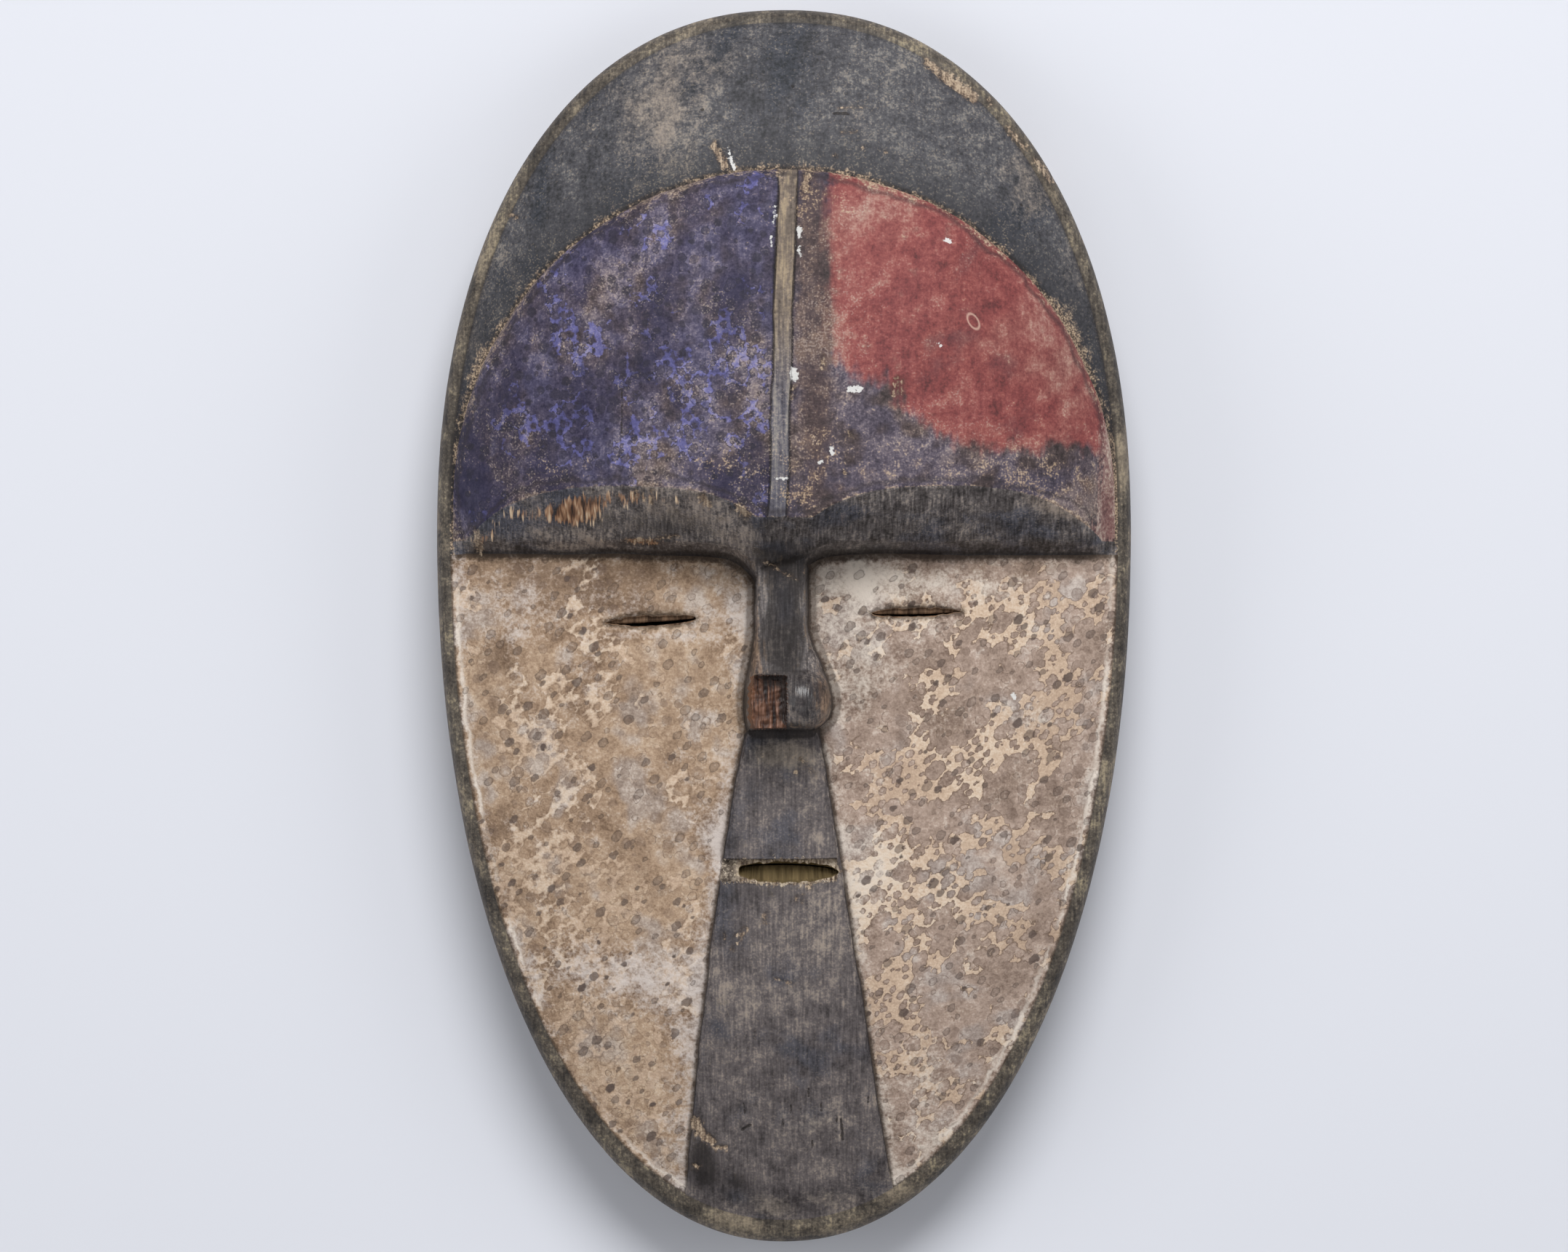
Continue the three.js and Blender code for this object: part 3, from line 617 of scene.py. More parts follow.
class Skin:  # one closed shell: points, triangles, and the finish of each triangle
    def __init__(self):
        self.points, self.faces, self.finishes, self.count = [], [], [], 0

    def add(self, x, y, z):
        first = self.count
        self.points.append(np.stack([x, y, z], 1))
        self.count += len(x)
        return np.arange(first, self.count)

    def fill(self, tris, finish):
        self.faces.append(tris)
        self.finishes.append(np.broadcast_to(finish, len(tris)))

    def strip(self, a, b, finish, flip=False):
        a2, b2 = np.roll(a, -1), np.roll(b, -1)
        tris = np.concatenate([np.stack([a, b, b2], 1), np.stack([a, b2, a2], 1)])
        self.fill(tris[:, ::-1] if flip else tris, finish)


finishes = ["crown", "forehead", "brow", "face", "fracture", "lipBand", "lips", "cut", "edge", "hollow"]
finishOf = {name: n for n, name in enumerate(finishes)}
skin = Skin()
x, y = frontPts[:, 0], frontPts[:, 1]
z = frontZ(x, y)
# The knife never ran quite true: carved lines wander a little, except along the outline.
hand = {"wander": 0.34, "longAcross": 17.0, "shortAcross": 5.0, "longUp": 19.0, "shortUp": 6.0}
wander = hand["wander"] * (1.0 - ease(ringShare(x, y), 0.95, 0.99))
handX = x + wander * (softNoise(x, y, hand["longAcross"], 3) + 0.5 * softNoise(x, y, hand["shortAcross"], 4))
handY = y + wander * (softNoise(x, y, hand["longUp"], 5) + 0.5 * softNoise(x, y, hand["shortUp"], 6))
frontIds = skin.add(handX, handY, z)

frontTris = facing(frontPts, frontTris, True)
centre = frontPts[frontTris].mean(axis=1)
cx, cy = centre[:, 0], centre[:, 1]
finish = np.full(len(frontTris), finishOf["face"])
finish[cy > browFootY(cx)] = finishOf["crown"]
onHead = (inBrow(cx, cy) > 0) & (cy > browFootY(cx))
finish[onHead] = finishOf["forehead"]
finish[onHead & (cy < archY(cx))] = finishOf["brow"]
onBand = (inBand(cx, cy) > 0) & (cy < lipBand["topY"]) & (cy > lipBand["footY"] - 12)
finish[onBand] = finishOf["lipBand"]
finish[onBand & (inNotch(cx, cy) > 0.5)] = finishOf["lips"]
onNose = (inNose(cx, cy) > 0) & (cy < browLipY(cx))
finish[onNose] = finishOf["brow"]
finish[onNose & (inBreak(cx, cy) > 0.5) & (frontZ(cx, cy) > nose["breakHeight"] - 8.0)] = finishOf["fracture"]
skin.fill(frontTris + frontIds[0], finish)

# Shoulder, side wall and rim.
rows = [frontPlace[frontRing] + frontIds[0]]
for turn in np.radians(density["shoulder"]):
    part = 1.0 - math.cos(turn)
    rx, ry = ringPoints(ringTurns, *(block[k] * part for k in ("insetSide", "insetCrown", "insetChin")))
    rows.append(skin.add(rx, ry, edgeZ(ry) - block["shoulderDepth"] * (1.0 - math.sin(turn))))
topX, topY = ringPoints(ringTurns, 0.0, 0.0, 0.0)
topZ = edgeZ(topY) - block["shoulderDepth"]
for down in np.linspace(0.0, 1.0, density["wallRows"])[1:]:
    scale = mix(1.0, block["footScale"], down)
    rows.append(skin.add(topX * scale, topY * scale, topZ * (1.0 - down)))
for a, b in zip(rows, rows[1:]):
    skin.strip(a, b, finishOf["edge"])
footX, footY = topX * block["footScale"], topY * block["footScale"]
rimRows = [rows[-1]]
for inward in np.linspace(0.0, 1.0, density["rimRows"])[1:]:
    rimRows.append(skin.add(mix(footX, rimX, inward), mix(footY, rimY, inward), 0.0 * rimX))
for a, b in zip(rimRows, rimRows[1:]):
    skin.strip(a, b, finishOf["hollow"])
wallRows = [rimRows[-1]]
for share in rimShares[1:-1]:
    rx, ry = rimX * share, block["widestY"] + (rimY - block["widestY"]) * share
    wallRows.append(skin.add(rx, ry, hollowZ(rx, ry)))
backIds = skin.add(backPts[:, 0], backPts[:, 1], hollowZ(backPts[:, 0], backPts[:, 1]))
wallRows.append(backPlace[backRing] + backIds[0])
for a, b in zip(wallRows, wallRows[1:]):
    skin.strip(a, b, finishOf["hollow"])
skin.fill(facing(backPts, backTris, False) + backIds[0], finishOf["hollow"])

# Walls of the eye slits and the mouth.
for slit, top, under in zip(slits.values(), frontLoops, backLoops):
    topIds, underIds = frontPlace[top] + frontIds[0], backPlace[under] + backIds[0]
    allPts = np.concatenate(skin.points)
    slitRows = [topIds]
    for down, inward in ((0.06, 0.02), (0.13, 0.06), (0.2, 0.14), (0.25, 0.55), (0.3, 0.93), (0.6, 1.0)):
        a, b = allPts[topIds], allPts[underIds]
        skinRow = mix(a, b, np.array([inward, inward, down * slit["ledge"]]))
        slitRows.append(skin.add(*skinRow.T))
    slitRows.append(underIds)
    for a, b in zip(slitRows, slitRows[1:]):
        skin.strip(a, b, finishOf["cut"], flip=True)

points = np.concatenate(skin.points)
faces = np.concatenate(skin.faces)
used = np.zeros(len(points), bool)
used[faces] = True
onFront = np.zeros(len(points), bool)
onFront[frontIds] = True
plan = points.copy()
plan[frontIds, :2] = frontPts
tooled = np.where(onFront, 1.0, 0.0)  # how far tool marks may move a point: not at all on the resting rim
for row in rows[1:-2]:
    tooled[row] = 0.7
tooled[backIds] = 1.0
scooped = np.zeros(len(points))
scooped[backIds] = 1.0
points, plan, onFront, tooled, scooped = points[used], plan[used], onFront[used], tooled[used], scooped[used]
faces = (np.cumsum(used) - 1)[faces]
faceFinish = np.concatenate(skin.finishes)
report(f"skin of {len(faces)} triangles")

# Broad soft areas of paint and dirt, and a few spots of painted shadow, highlight and sheen, in millimetres.
areas = {
    "pale": [  # light islands of slip on the cheeks
        (48, -52, 22, 34, 0.9), (84, -30, 14, 42, 0.75), (78, -92, 20, 30, 0.55), (30, -128, 14, 30, 0.7),
        (22, -165, 12, 18, 0.3), (64, -130, 22, 20, 0.35), (72, 6, 16, 14, 0.55), (30, -14, 10, 18, 0.15),
        (-58, -22, 26, 26, 0.65), (-78, -66, 18, 30, 0.7), (-52, -104, 26, 20, 1.1),
        (-46, -152, 18, 20, 1.15), (-68, -108, 12, 12, 0.5), (-82, -104, 14, 26, 0.6),
        (-38, -60, 16, 26, 0.4),
    ],
    "haze": [  # chalky bloom; at (26, 15), beside the nose root on the right, a painted highlight
        (-24, -18, 12, 34, 0.2), (-20, -68, 9, 20, 0.45), (-52, -112, 24, 12, 0.75), (-34, -150, 10, 26, 0.5),
        (24, -4, 12, 22, 0.55), (30, -60, 9, 26, 0.35), (46, -150, 8, 22, 0.6), (78, -30, 8, 6, 0.8),
        (-36, 2, 20, 8, 0.35), (60, 14, 26, 7, 0.65), (-88, 6, 14, 14, 0.35), (-16, 8, 8, 12, 0.5),
        (26, 15, 14, 8, 0.85), (-43, -3, 16, 1.5, 0.5), (43, 1, 15, 1.5, 0.5),
    ],
    "soil": [  # brown film and grime
        (-80, 16, 20, 10, 0.6), (-64, 14, 34, 6, 0.5), (60, 18, 40, 5, 0.5), (-92, -10, 10, 24, 0.4),
        (-38, -62, 22, 22, 0.5), (-86, -110, 10, 24, 0.35), (-60, -132, 12, 12, 0.65),
        (-34, -124, 10, 8, 0.4), (-70, -84, 16, 8, 0.4), (52, -84, 22, 12, 0.4), (46, -24, 22, 18, 0.3),
        (88, -52, 8, 24, 0.2), (60, -118, 16, 14, 0.3), (-38, -168, 18, 10, 0.45), (-100, -60, 8, 40, 0.4),
        (-43, 6, 17, 3, 0.9), (43, 9, 15, 3, 0.6),
    ],
    "blue": [  # where the ultramarine stayed
        (-52, 112, 20, 10, 0.2), (-56, 92, 16, 12, 0.45), (-20, 92, 12, 22, 0.4), (-44, 66, 26, 14, 0.5),
        (-70, 62, 18, 12, 0.4), (-84, 80, 14, 18, 0.15), (-42, 56, 5, 8, 0.7), (-70, 118, 16, 12, -0.1),
        (-14, 126, 12, 14, -0.5), (-88, 104, 10, 12, -0.35), (-30, 104, 10, 8, -0.35), (-50, 48, 40, 4, -0.6),
        (-14, 52, 10, 10, -0.3), (-34, 132, 16, 8, 0.3), (-98, 60, 6, 20, -0.2),
    ],
    "red": [  # where the red ochre is strongest
        (34, 84, 18, 16, 0.5), (30, 104, 14, 10, 0.35), (78, 70, 18, 10, 0.45), (52, 118, 10, 8, 0.3),
        (44, 66, 12, 8, 0.3), (34, 130, 18, 12, -0.6), (66, 92, 18, 12, -0.3), (89, 86, 14, 26, -1.2),
        (52, 92, 12, 8, -0.2), (40, 98, 8, 7, -0.2),
    ],
    "crownHaze": [  # brown and grey rubbing over the charcoal
        (-30, 182, 30, 16, 0.46), (-62, 168, 18, 14, 0.3), (-66, 150, 16, 20, 0.4), (-92, 110, 12, 26, 0.1),
        (78, 146, 10, 16, 0.9), (-101, 92, 5, 14, 0.7), (94, 104, 8, 26, 0.9), (110, 46, 5, 26, 0.6),
        (0, 197, 60, 4, 0.6), (0, -192, 40, 7, 0.6), (24, 160, 8, 12, 0.35), (60, 186, 16, 8, 0.3),
        (-8, 150, 14, 6, 0.2), (-102, 60, 6, 30, 0.15), (4, 182, 30, 6, 0.3),
    ],
    "crumbs": [  # tan crumbs where the paint has worn through
        (10, 138, 14, 8, 0.9), (12, 118, 8, 16, 0.1), (16, 60, 16, 12, 0.65), (-14, 132, 14, 10, 0.35),
        (-18, 52, 14, 8, 0.8), (40, 52, 24, 6, 0.6), (4, 44, 10, 8, 0.9), (-60, 50, 34, 4, 0.55),
        (82, 47, 20, 9, 1.1), (14.5, -23, 3, 6, 1.6), (-70, 96, 12, 10, 0.2), (-96, 72, 8, 24, 0.3),
        (5, 36, 8, 5, 0.5),
    ],
    "dust": [  # pale dust on the lip band
        (-2, -41, 12, 5, 1.5), (10, -164, 16, 12, 0.5), (10, -186, 30, 5, 0.6), (-16, -168, 10, 10, 0.35),
        (-8, -84, 18, 3, 0.4), (-3, -189, 7, 4, 0.8),
    ],
    "raw": [  # splintered wood on the left of the brow
        (-66, 37, 10, 6, 1.0), (-82, 36, 12, 4, 0.6), (-98, 27, 5, 4, 0.7), (-48, 41, 14, 4, 0.7),
        (-92, 31, 6, 5, 0.4), (-44, 27, 13, 1.4, 0.9), (-27, 40, 10, 3, 0.55),
    ],
    "soot": [  # deep black places, and at (0, -33) a painted shadow under the nose foot
        (-26, -174, 5, 9, 1.0), (-14, -180, 7, 5, 0.6), (-8, -86, 14, 4, 0.4), (-2, 22, 16, 6, 0.6),
        (-18, -70, 6, 4, 0.5), (-22, -130, 5, 20, 0.3), (-71, 37, 3, 2, 0.9), (30, 32, 22, 5, 0.3),
        (0, -33, 12, 1.6, 0.9), (0, -3, 8, 16, 1.05), (2, 14, 9, 5, 0.5), (-36, 35, 16, 6, 0.3),
        (-66, 34, 14, 4, 0.42), (-6, 37, 4, 8, 0.5), (-34, 31, 20, 4, 0.3),
    ],
    "indigo": [  # blue run out over the dark stain; at (0, 2) on the nose bridge it is also a painted bluish sheen
        (-8, 36, 4, 8, 0.9), (-88, 35, 14, 5, 0.8), (-70, 43, 10, 3, 0.5), (60, 40, 40, 5, 0.35),
        (44, 150, 30, 14, 0.35), (84, 128, 12, 18, 0.4), (0, 2, 6, 13, 0.9), (-30, 150, 30, 10, 0.25),
        (-98, 58, 12, 24, 0.7), (-60, 51, 40, 4, 0.5), (-12, 50, 8, 14, 0.5), (-16, 84, 8, 10, 0.3),
        (4, -60, 14, 10, 0.35),
    ],
    "umber": [  # dark brown ground beside the bar and over the arches
        (10, 106, 6, 44, 1.25), (10, 62, 6, 16, 0.5), (98, 45, 5, 10, 0.6), (14, 42, 10, 5, 0.5),
        (60, 52, 30, 3, 0.15),
    ],
    "polish": [  # handled smooth
        (6, -23, 6, 8, 1.0), (0, -10, 7, 4, 0.3),
    ],
    "smear": [  # red and tan rubbed down the right end of the forehead
        (106, 60, 3.4, 17, 1.1), (105, 38, 3.6, 12, 1.1), (101, 30, 5, 4, 0.5),
    ],
    "rust": [  # brown and orange rubbing on the dark stain
        (-10, -8, 3, 16, 0.9), (13, -22, 4, 7, 1.1), (0, 20, 10, 6, 0.5), (9, 2, 2.5, 12, 0.4),
        (20, 34, 20, 4, 0.25), (-1, -13, 9, 3, 0.4), (12, -32, 6, 3, 0.5),
    ],
}
redOutline = [
    (13.5, 160), (12.5, 128), (14.5, 118), (13, 108), (14, 96), (16, 86.5), (24, 80), (31, 77), (38, 71),
    (44, 66.5), (50, 62), (58, 58.5), (80, 57.5), (102, 56), (114, 58), (120, 160),
]
px, py = plan[:, 0], plan[:, 1]


def crest(x, y, reach):  # above 0 on a raised edge, below 0 in a corner
    turns = np.linspace(0, 2 * np.pi, 6, endpoint=False)
    around = sum(frontZ(x + reach * math.cos(t), y + reach * math.sin(t)) for t in turns) / 6
    return (frontZ(x, y) - around) / reach


fields = {name: softAreas(px, py, areas[name]) for name in areas}
fields.update({name: markDepth(px, py, wear[name]) for name in wear})
sx, sy = px + 0.7 * points[:, 2], py + 0.8 * points[:, 2]
fields["mottle"] = mottled(sx, sy, (26, 13, 6.5, 3.4), 31)
fields["cloud"] = mottled(sx, sy, (15, 7.5, 3.7), 51)
fields["slipIsland"] = 5.0 * (mottled(sx, sy, (13, 7.5, 4.2, 2.7), 71) + 1.1 * fields.pop("pale") - 0.52)
fields["blueIsland"] = 5.0 * (mottled(sx, sy, (11, 6, 3.4), 91) + 1.2 * fields.pop("blue") - 0.2)
fields["redInside"] = np.clip(insideBy(px, py, redOutline), -30, 30)
share = ringShare(px, py)
slopeX = ringShare(px + 0.5, py) - ringShare(px - 0.5, py)
slopeY = ringShare(px, py + 0.5) - ringShare(px, py - 0.5)
slope = np.hypot(slopeX, slopeY)
fields["edgeGap"] = np.clip((1.0 - share) / np.maximum(slope, 1e-4), -10, 60)
fields["discGap"] = np.clip(forehead["radius"] - discReach(px, py), -60, 60)
fields["archGap"] = np.clip(py - archY(px), -60, 60)
fields["browGap"] = np.clip(browFootY(px) - py, -60, 60)
fields["leftSide"] = np.clip(barMiddle(py) - px, -40, 40)
fields["barGap"] = np.clip(np.abs(px - barMiddle(py)) - bar["width"] / 2, -10, 60)
noseSide = np.maximum(noseFootX(py, -1) - px, px - noseFootX(py, 1))
bandSide = np.maximum(bandFootX(py, -1) - px, px - bandFootX(py, 1))
fields["sideGap"] = np.clip(np.where(py > lipBand["topY"], noseSide, bandSide), -30, 60)
nearSlit = np.full(len(points), 30.0)
for loop in loops:
    close = np.where(np.hypot(px - loop[:, 0].mean(), py - loop[:, 1].mean()) < 30)[0]
    gaps = np.hypot(px[close, None] - loop[None, :, 0], py[close, None] - loop[None, :, 1]).min(axis=1)
    nearSlit[close] = np.minimum(nearSlit[close], gaps)
fields["slitGap"] = nearSlit
rise = np.zeros(len(points))
rise[onFront] = 0.6 * crest(px[onFront], py[onFront], 1.3) + 0.4 * crest(px[onFront], py[onFront], 3.2)
fields["crest"] = np.clip(rise, -1.5, 1.5)
fields["tooled"] = tooled
fields["scooped"] = scooped
fields["down"] = np.where(onFront, 0.0, np.clip((edgeZ(py) - 2.0 - points[:, 2]) / 8.0, 0.0, 1.0))
report("paint and wear laid out")

mesh = bpy.data.meshes.new("maskSkin")
mesh.from_pydata((points * 0.001).tolist(), [], faces.tolist())
for name, values in fields.items():
    mesh.attributes.new(name, "FLOAT", "POINT").data.foreach_set("value", values.astype(np.float32))
mesh.attributes.new("finish", "INT", "FACE").data.foreach_set("value", faceFinish.astype(np.int32))
mesh.shade_smooth()
maskSkin = bpy.data.objects.new("maskSkin", mesh)
bpy.context.scene.collection.objects.link(maskSkin)
report("skin made")


def linear(code):  # sRGB hex to linear colour
    parts = [int(code[n:n + 2], 16) / 255 for n in (1, 3, 5)]
    return tuple(c / 12.92 if c <= 0.04045 else ((c + 0.055) / 1.055) ** 2.4 for c in parts) + (1.0,)


# One node with its settings, colour stops and links; inputs come by name or in the order of its sockets.
def add(tree, kind, inputs=(), stops=(), **settings):
    if isinstance(kind, bpy.types.NodeTree):
        node = tree.nodes.new("ShaderNodeGroup")
        node.node_tree = kind
    else:
        node = tree.nodes.new(kind if "Node" in kind else "ShaderNode" + kind)
    for name, value in settings.items():
        setattr(node, name, value)
    for key, value in (inputs.items() if isinstance(inputs, dict) else enumerate(inputs)):
        named = (s for s in node.inputs if s.name == key and s.enabled)
        socket = node.inputs[key] if isinstance(key, int) else next(named)
        if isinstance(value, tuple) and isinstance(value[0], bpy.types.Node):
            value = value[0].outputs[value[1]]
        if isinstance(value, bpy.types.Node):
            value = next(s for s in value.outputs if s.enabled)
        if isinstance(value, bpy.types.NodeSocket):
            tree.links.new(value, socket)
        else:
            hexColour = isinstance(value, str) and value.startswith("#")
            socket.default_value = linear(value) if hexColour else value
    if stops:
        marks = node.color_ramp.elements
        while len(marks) < len(stops):
            marks.new(0.5)
        for mark, (at, code) in zip(marks, stops):
            mark.position = at
            mark.color = linear(code)
    return node


def newTree(name, kind, inputs, outputs):
    tree = bpy.data.node_groups.new(name, kind)
    for way, sockets in (("INPUT", inputs), ("OUTPUT", outputs)):
        for label, value in sockets.items():
            shape = value if isinstance(value, str) else "NodeSocketFloat"
            socket = tree.interface.new_socket(label, in_out=way, socket_type=shape)
            if not isinstance(value, str):
                socket.default_value = value
    return tree, partial(add, tree)


times = {"operation": "MULTIPLY"}
plus = {"operation": "ADD"}
timesPlus = {"operation": "MULTIPLY_ADD"}
least = {"operation": "MINIMUM"}
soft = {"interpolation_type": "SMOOTHSTEP"}
paint = {"data_type": "RGBA"}

# Tool marks and damage that stand in the surface, cut inward along the normal.
toolMarks = {
    "Sway": 0.32, "Sway Size": 34.0,     # the slow unevenness of hand carving, mm deep and wide
    "Facet": 0.16, "Facet Size": 8.0,    # scraped facets
    "Fibre": 0.10, "Fibre Size": 1.7,    # raised grain, running from crown to chin
    "Chip": 0.55, "Pit": 0.7,            # depth of chips and of nail holes
    "Scoop": 1.1, "Scoop Size": 11.0,    # gouge cuts in the hollow
}


def carvingTree():
    geometry = {"Geometry": "NodeSocketGeometry"}
    tree, n = newTree("carvingMarks", "GeometryNodeTree", {**geometry, **toolMarks}, geometry)
    start = n("NodeGroupInput")
    spot = n("VectorMath", {0: n("GeometryNodeInputPosition"), "Scale": 1000.0}, operation="SCALE")
    total = 0.0
    layers = (("Sway", (1, 1, 1), 3.0), ("Facet", (1, 0.6, 1), 17.0), ("Fibre", (1, 0.06, 1), 29.0))
    for name, stretch, seed in layers:
        along = n("VectorMath", (spot, stretch), **times)
        size = n("Math", (1.0, (start, name + " Size")), operation="DIVIDE")
        noise = n("TexNoise", {"Vector": along, "W": seed, "Scale": size, "Detail": 2.0},
                noise_dimensions="4D")
        total = n("Math", (noise, (start, name), total), **timesPlus)
    ragged = n("TexNoise", {"Vector": spot, "Scale": 1 / 1.3, "Detail": 2.0})
    for name, field in (("Chip", "bare"), ("Pit", "pit")):
        inside = n("GeometryNodeInputNamedAttribute", {"Name": field}, data_type="FLOAT")
        torn = n("Math", (n("Math", (ragged, 0.9, -0.5), **timesPlus), inside), **plus)
        share = n("MapRange", {"Value": torn, "From Min": -0.3, "From Max": 0.9}, **soft)
        total = n("Math", (share, (start, name), total), **timesPlus)
    size = n("Math", (1.0, (start, "Scoop Size")), operation="DIVIDE")
    cuts = n("TexVoronoi", {"Vector": n("VectorMath", (spot, (1, 0.4, 0.5)), **times), "Scale": size})
    cuts = n("Math", (n("Math", ((cuts, "Distance"), -1.0, 0.6), **timesPlus), (start, "Scoop")), **times)
    scoopedHere = n("GeometryNodeInputNamedAttribute", {"Name": "scooped"}, data_type="FLOAT")
    total = n("Math", (cuts, scoopedHere, total), **timesPlus)
    tooledHere = n("GeometryNodeInputNamedAttribute", {"Name": "tooled"}, data_type="FLOAT")
    metres = n("Math", (n("Math", (total, tooledHere), **times), -0.001), **times)
    offset = n("VectorMath", {0: n("GeometryNodeInputNormal"), "Scale": metres}, operation="SCALE")
    result = n("GeometryNodeSetPosition", {"Geometry": (start, "Geometry"), "Offset": offset})
    result = n("GeometryNodeRealizeInstances", {"Geometry": result})
    finishHere = n("GeometryNodeInputNamedAttribute", {"Name": "finish"}, data_type="INT")
    for number, name in enumerate(finishes):
        chosen = n("FunctionNodeCompare", {"A": finishHere, "B": number}, data_type="INT", operation="EQUAL")
        chosen = {"Selection": chosen, "Material": materials[name]}
        result = n("GeometryNodeSetMaterial", {"Geometry": result, **chosen})
    n("NodeGroupOutput", (result,))
    return tree


# Patterns that several finishes share. Softened steps and lines first.
stepGroup, n = newTree("softStep", "ShaderNodeTree", {"Value": 0.0, "Low": 0.0, "High": 1.0}, {"Result": 0.0})
start = n("NodeGroupInput")
span = {"From Min": (start, "Low"), "From Max": (start, "High")}
n("NodeGroupOutput", (n("MapRange", {"Value": (start, "Value"), **span}, **soft),))

between, n = newTree("between", "ShaderNodeTree", {"Share": 0.0, "Low": 0.0, "High": 1.0}, {"Result": 0.0})
start = n("NodeGroupInput")
span = {"To Min": (start, "Low"), "To Max": (start, "High")}
n("NodeGroupOutput", (n("MapRange", {"Value": (start, "Share"), **span}),))

lineGroup, n = newTree("softLine", "ShaderNodeTree", {"Value": 0.0, "Width": 1.0}, {"Result": 0.0})
start = n("NodeGroupInput")
away = n("Math", ((start, "Value"),), operation="ABSOLUTE")
span = {"From Max": (start, "Width"), "To Min": 1.0, "To Max": 0.0}
n("NodeGroupOutput", (n("MapRange", {"Value": away, **span}, **soft),))

# Grain at the sizes that the surface shows: mm across, detail, roughness, stretch; each comes out 0 to 1.
grainSizes = {
    "Blotch": (5.6, 2.0, 0.62, (1, 1, 1)),
    "Grit": (1.3, 2.0, 0.6, (1, 1, 1)),
    "Speck": (0.62, 0.0, 0.5, (1, 1, 1)),
    "Fibre": (0.85, 1.0, 0.6, (1, 0.08, 0.2)),
    "Streak": (2.8, 1.0, 0.6, (1, 0.11, 0.2)),
}
grainGroup, n = newTree("woodGrain", "ShaderNodeTree", {"Vector": "NodeSocketVector"},
                         {**{name: 0.0 for name in grainSizes}, "Bent": "NodeSocketVector"})
start, outs = n("NodeGroupInput"), {}
for number, (size, detail, roughness, stretch) in enumerate(grainSizes.values()):
    along = n("VectorMath", (start, stretch, (31.0 * number, 17.0 * number, 5.0 * number)), **timesPlus)
    noise = n("TexNoise", {"Vector": along, "Scale": 1 / size, "Detail": detail, "Roughness": roughness})
    outs[number] = n("MapRange", {"Value": noise, "From Min": 0.28, "From Max": 0.72})
# The place, bent a little, for the edges of drops.
bend = n("TexNoise", {"Vector": start, "Scale": 1 / 1.7, "Detail": 1.0}, noise_dimensions="2D")
outs[len(grainSizes)] = n("VectorMath", ((bend, "Color"), (1.0, 1.0, 0.0), start), **timesPlus)
n("NodeGroupOutput", outs)

# One coat of colour over another: under, over, mask, strength.
coatInputs = {"Under": "NodeSocketColor", "Over": "NodeSocketColor", "Mask": 0.0, "Strength": 1.0}
coat, n = newTree("coatOver", "ShaderNodeTree", coatInputs, {"Colour": "NodeSocketColor"})
start = n("NodeGroupInput")
share = n("Math", ((start, "Mask"), (start, "Strength")), use_clamp=True, **times)
n("NodeGroupOutput", (n("Mix", {"Factor": share, "A": (start, "Under"), "B": (start, "Over")}, **paint),))

# A weighted sum: an offset, then up to four values, each with its weight after it.
sumInputs = {name: 0.0 for name in ("Offset", "A", "a", "B", "b", "C", "c", "D", "d")}
weighted, n = newTree("weightedSum", "ShaderNodeTree", sumInputs, {"Sum": 0.0})
start = n("NodeGroupInput")
total = (start, "Offset")
for name in "ABCD":
    total = n("Math", ((start, name), (start, name.lower()), total), **timesPlus)
n("NodeGroupOutput", (total,))

# A mask: where such a sum is low and where it is high, then the sum itself.
masked, n = newTree("weightedMask", "ShaderNodeTree", {"Low": 0.0, "High": 1.0, **sumInputs}, {"Mask": 0.0})
start = n("NodeGroupInput")
total = n(weighted, {name: (start, name) for name in sumInputs})
n("NodeGroupOutput", (n(stepGroup, (total, (start, "Low"), (start, "High"))),))

# Spots where a wet film drew up into drops: how far inside a drop, in mm, and each drop's number, 0 to 1.
dropInputs = {"Vector": "NodeSocketVector", "Cell": 4.0, "Smallest": 0.1, "Largest": 0.4, "Share": 0.5}
dropGroup, n = newTree("droplets", "ShaderNodeTree", dropInputs, {"Inside": 0.0, "Random": 0.0})
start = n("NodeGroupInput")
cells = n("TexVoronoi", {"Vector": n("VectorMath", (start, (start, "Cell")), operation="DIVIDE"),
        "Scale": 1.0, "Randomness": 0.85}, voronoi_dimensions="2D")
number = n("SeparateColor", ((cells, "Color"),))
radius = n("MapRange", {"Value": (number, 0), "To Min": (start, "Smallest"), "To Max": (start, "Largest")})
there = n("Math", ((number, 1), (start, "Share")), operation="LESS_THAN")
kept = n("Math", (n("Math", (radius, 0.4), **plus), there, -0.4), **timesPlus)
gap = n("Math", (kept, (cells, "Distance")), operation="SUBTRACT")
n("NodeGroupOutput", (n("Math", (gap, (start, "Cell")), **times), (number, 2)))
report("shared patterns made")


# An empty material, its node adder, and what its nodes read: place in mm, grain and the mesh's own values.
def newFinish(name, fields=""):
    material = bpy.data.materials.new(name)
    material.use_nodes = True
    material.node_tree.nodes.clear()
    n = partial(add, material.node_tree)
    mm = n("VectorMath", {0: (n("TexCoord"), "Object"), "Scale": 1000.0}, operation="SCALE")
    wood = n(grainGroup, (mm,))
    on = {"mm": mm, **{label.lower(): (wood, label) for label in (*grainSizes, "Bent")}}
    for field in fields.split():
        on[field] = (n("Attribute", attribute_name=field), "Fac")
    return material, n, SimpleNamespace(**on)


def closeFinish(n, colour, roughness, relief, shine):  # relief is a height in mm
    lift = n("Bump", {"Height": relief, "Distance": 0.001, "Strength": 1.0})
    surface = {"Base Color": colour, "Roughness": roughness, "Specular IOR Level": shine, "IOR": 1.5}
    n("OutputMaterial", {"Surface": n("BsdfPrincipled", {"Normal": lift, **surface})})


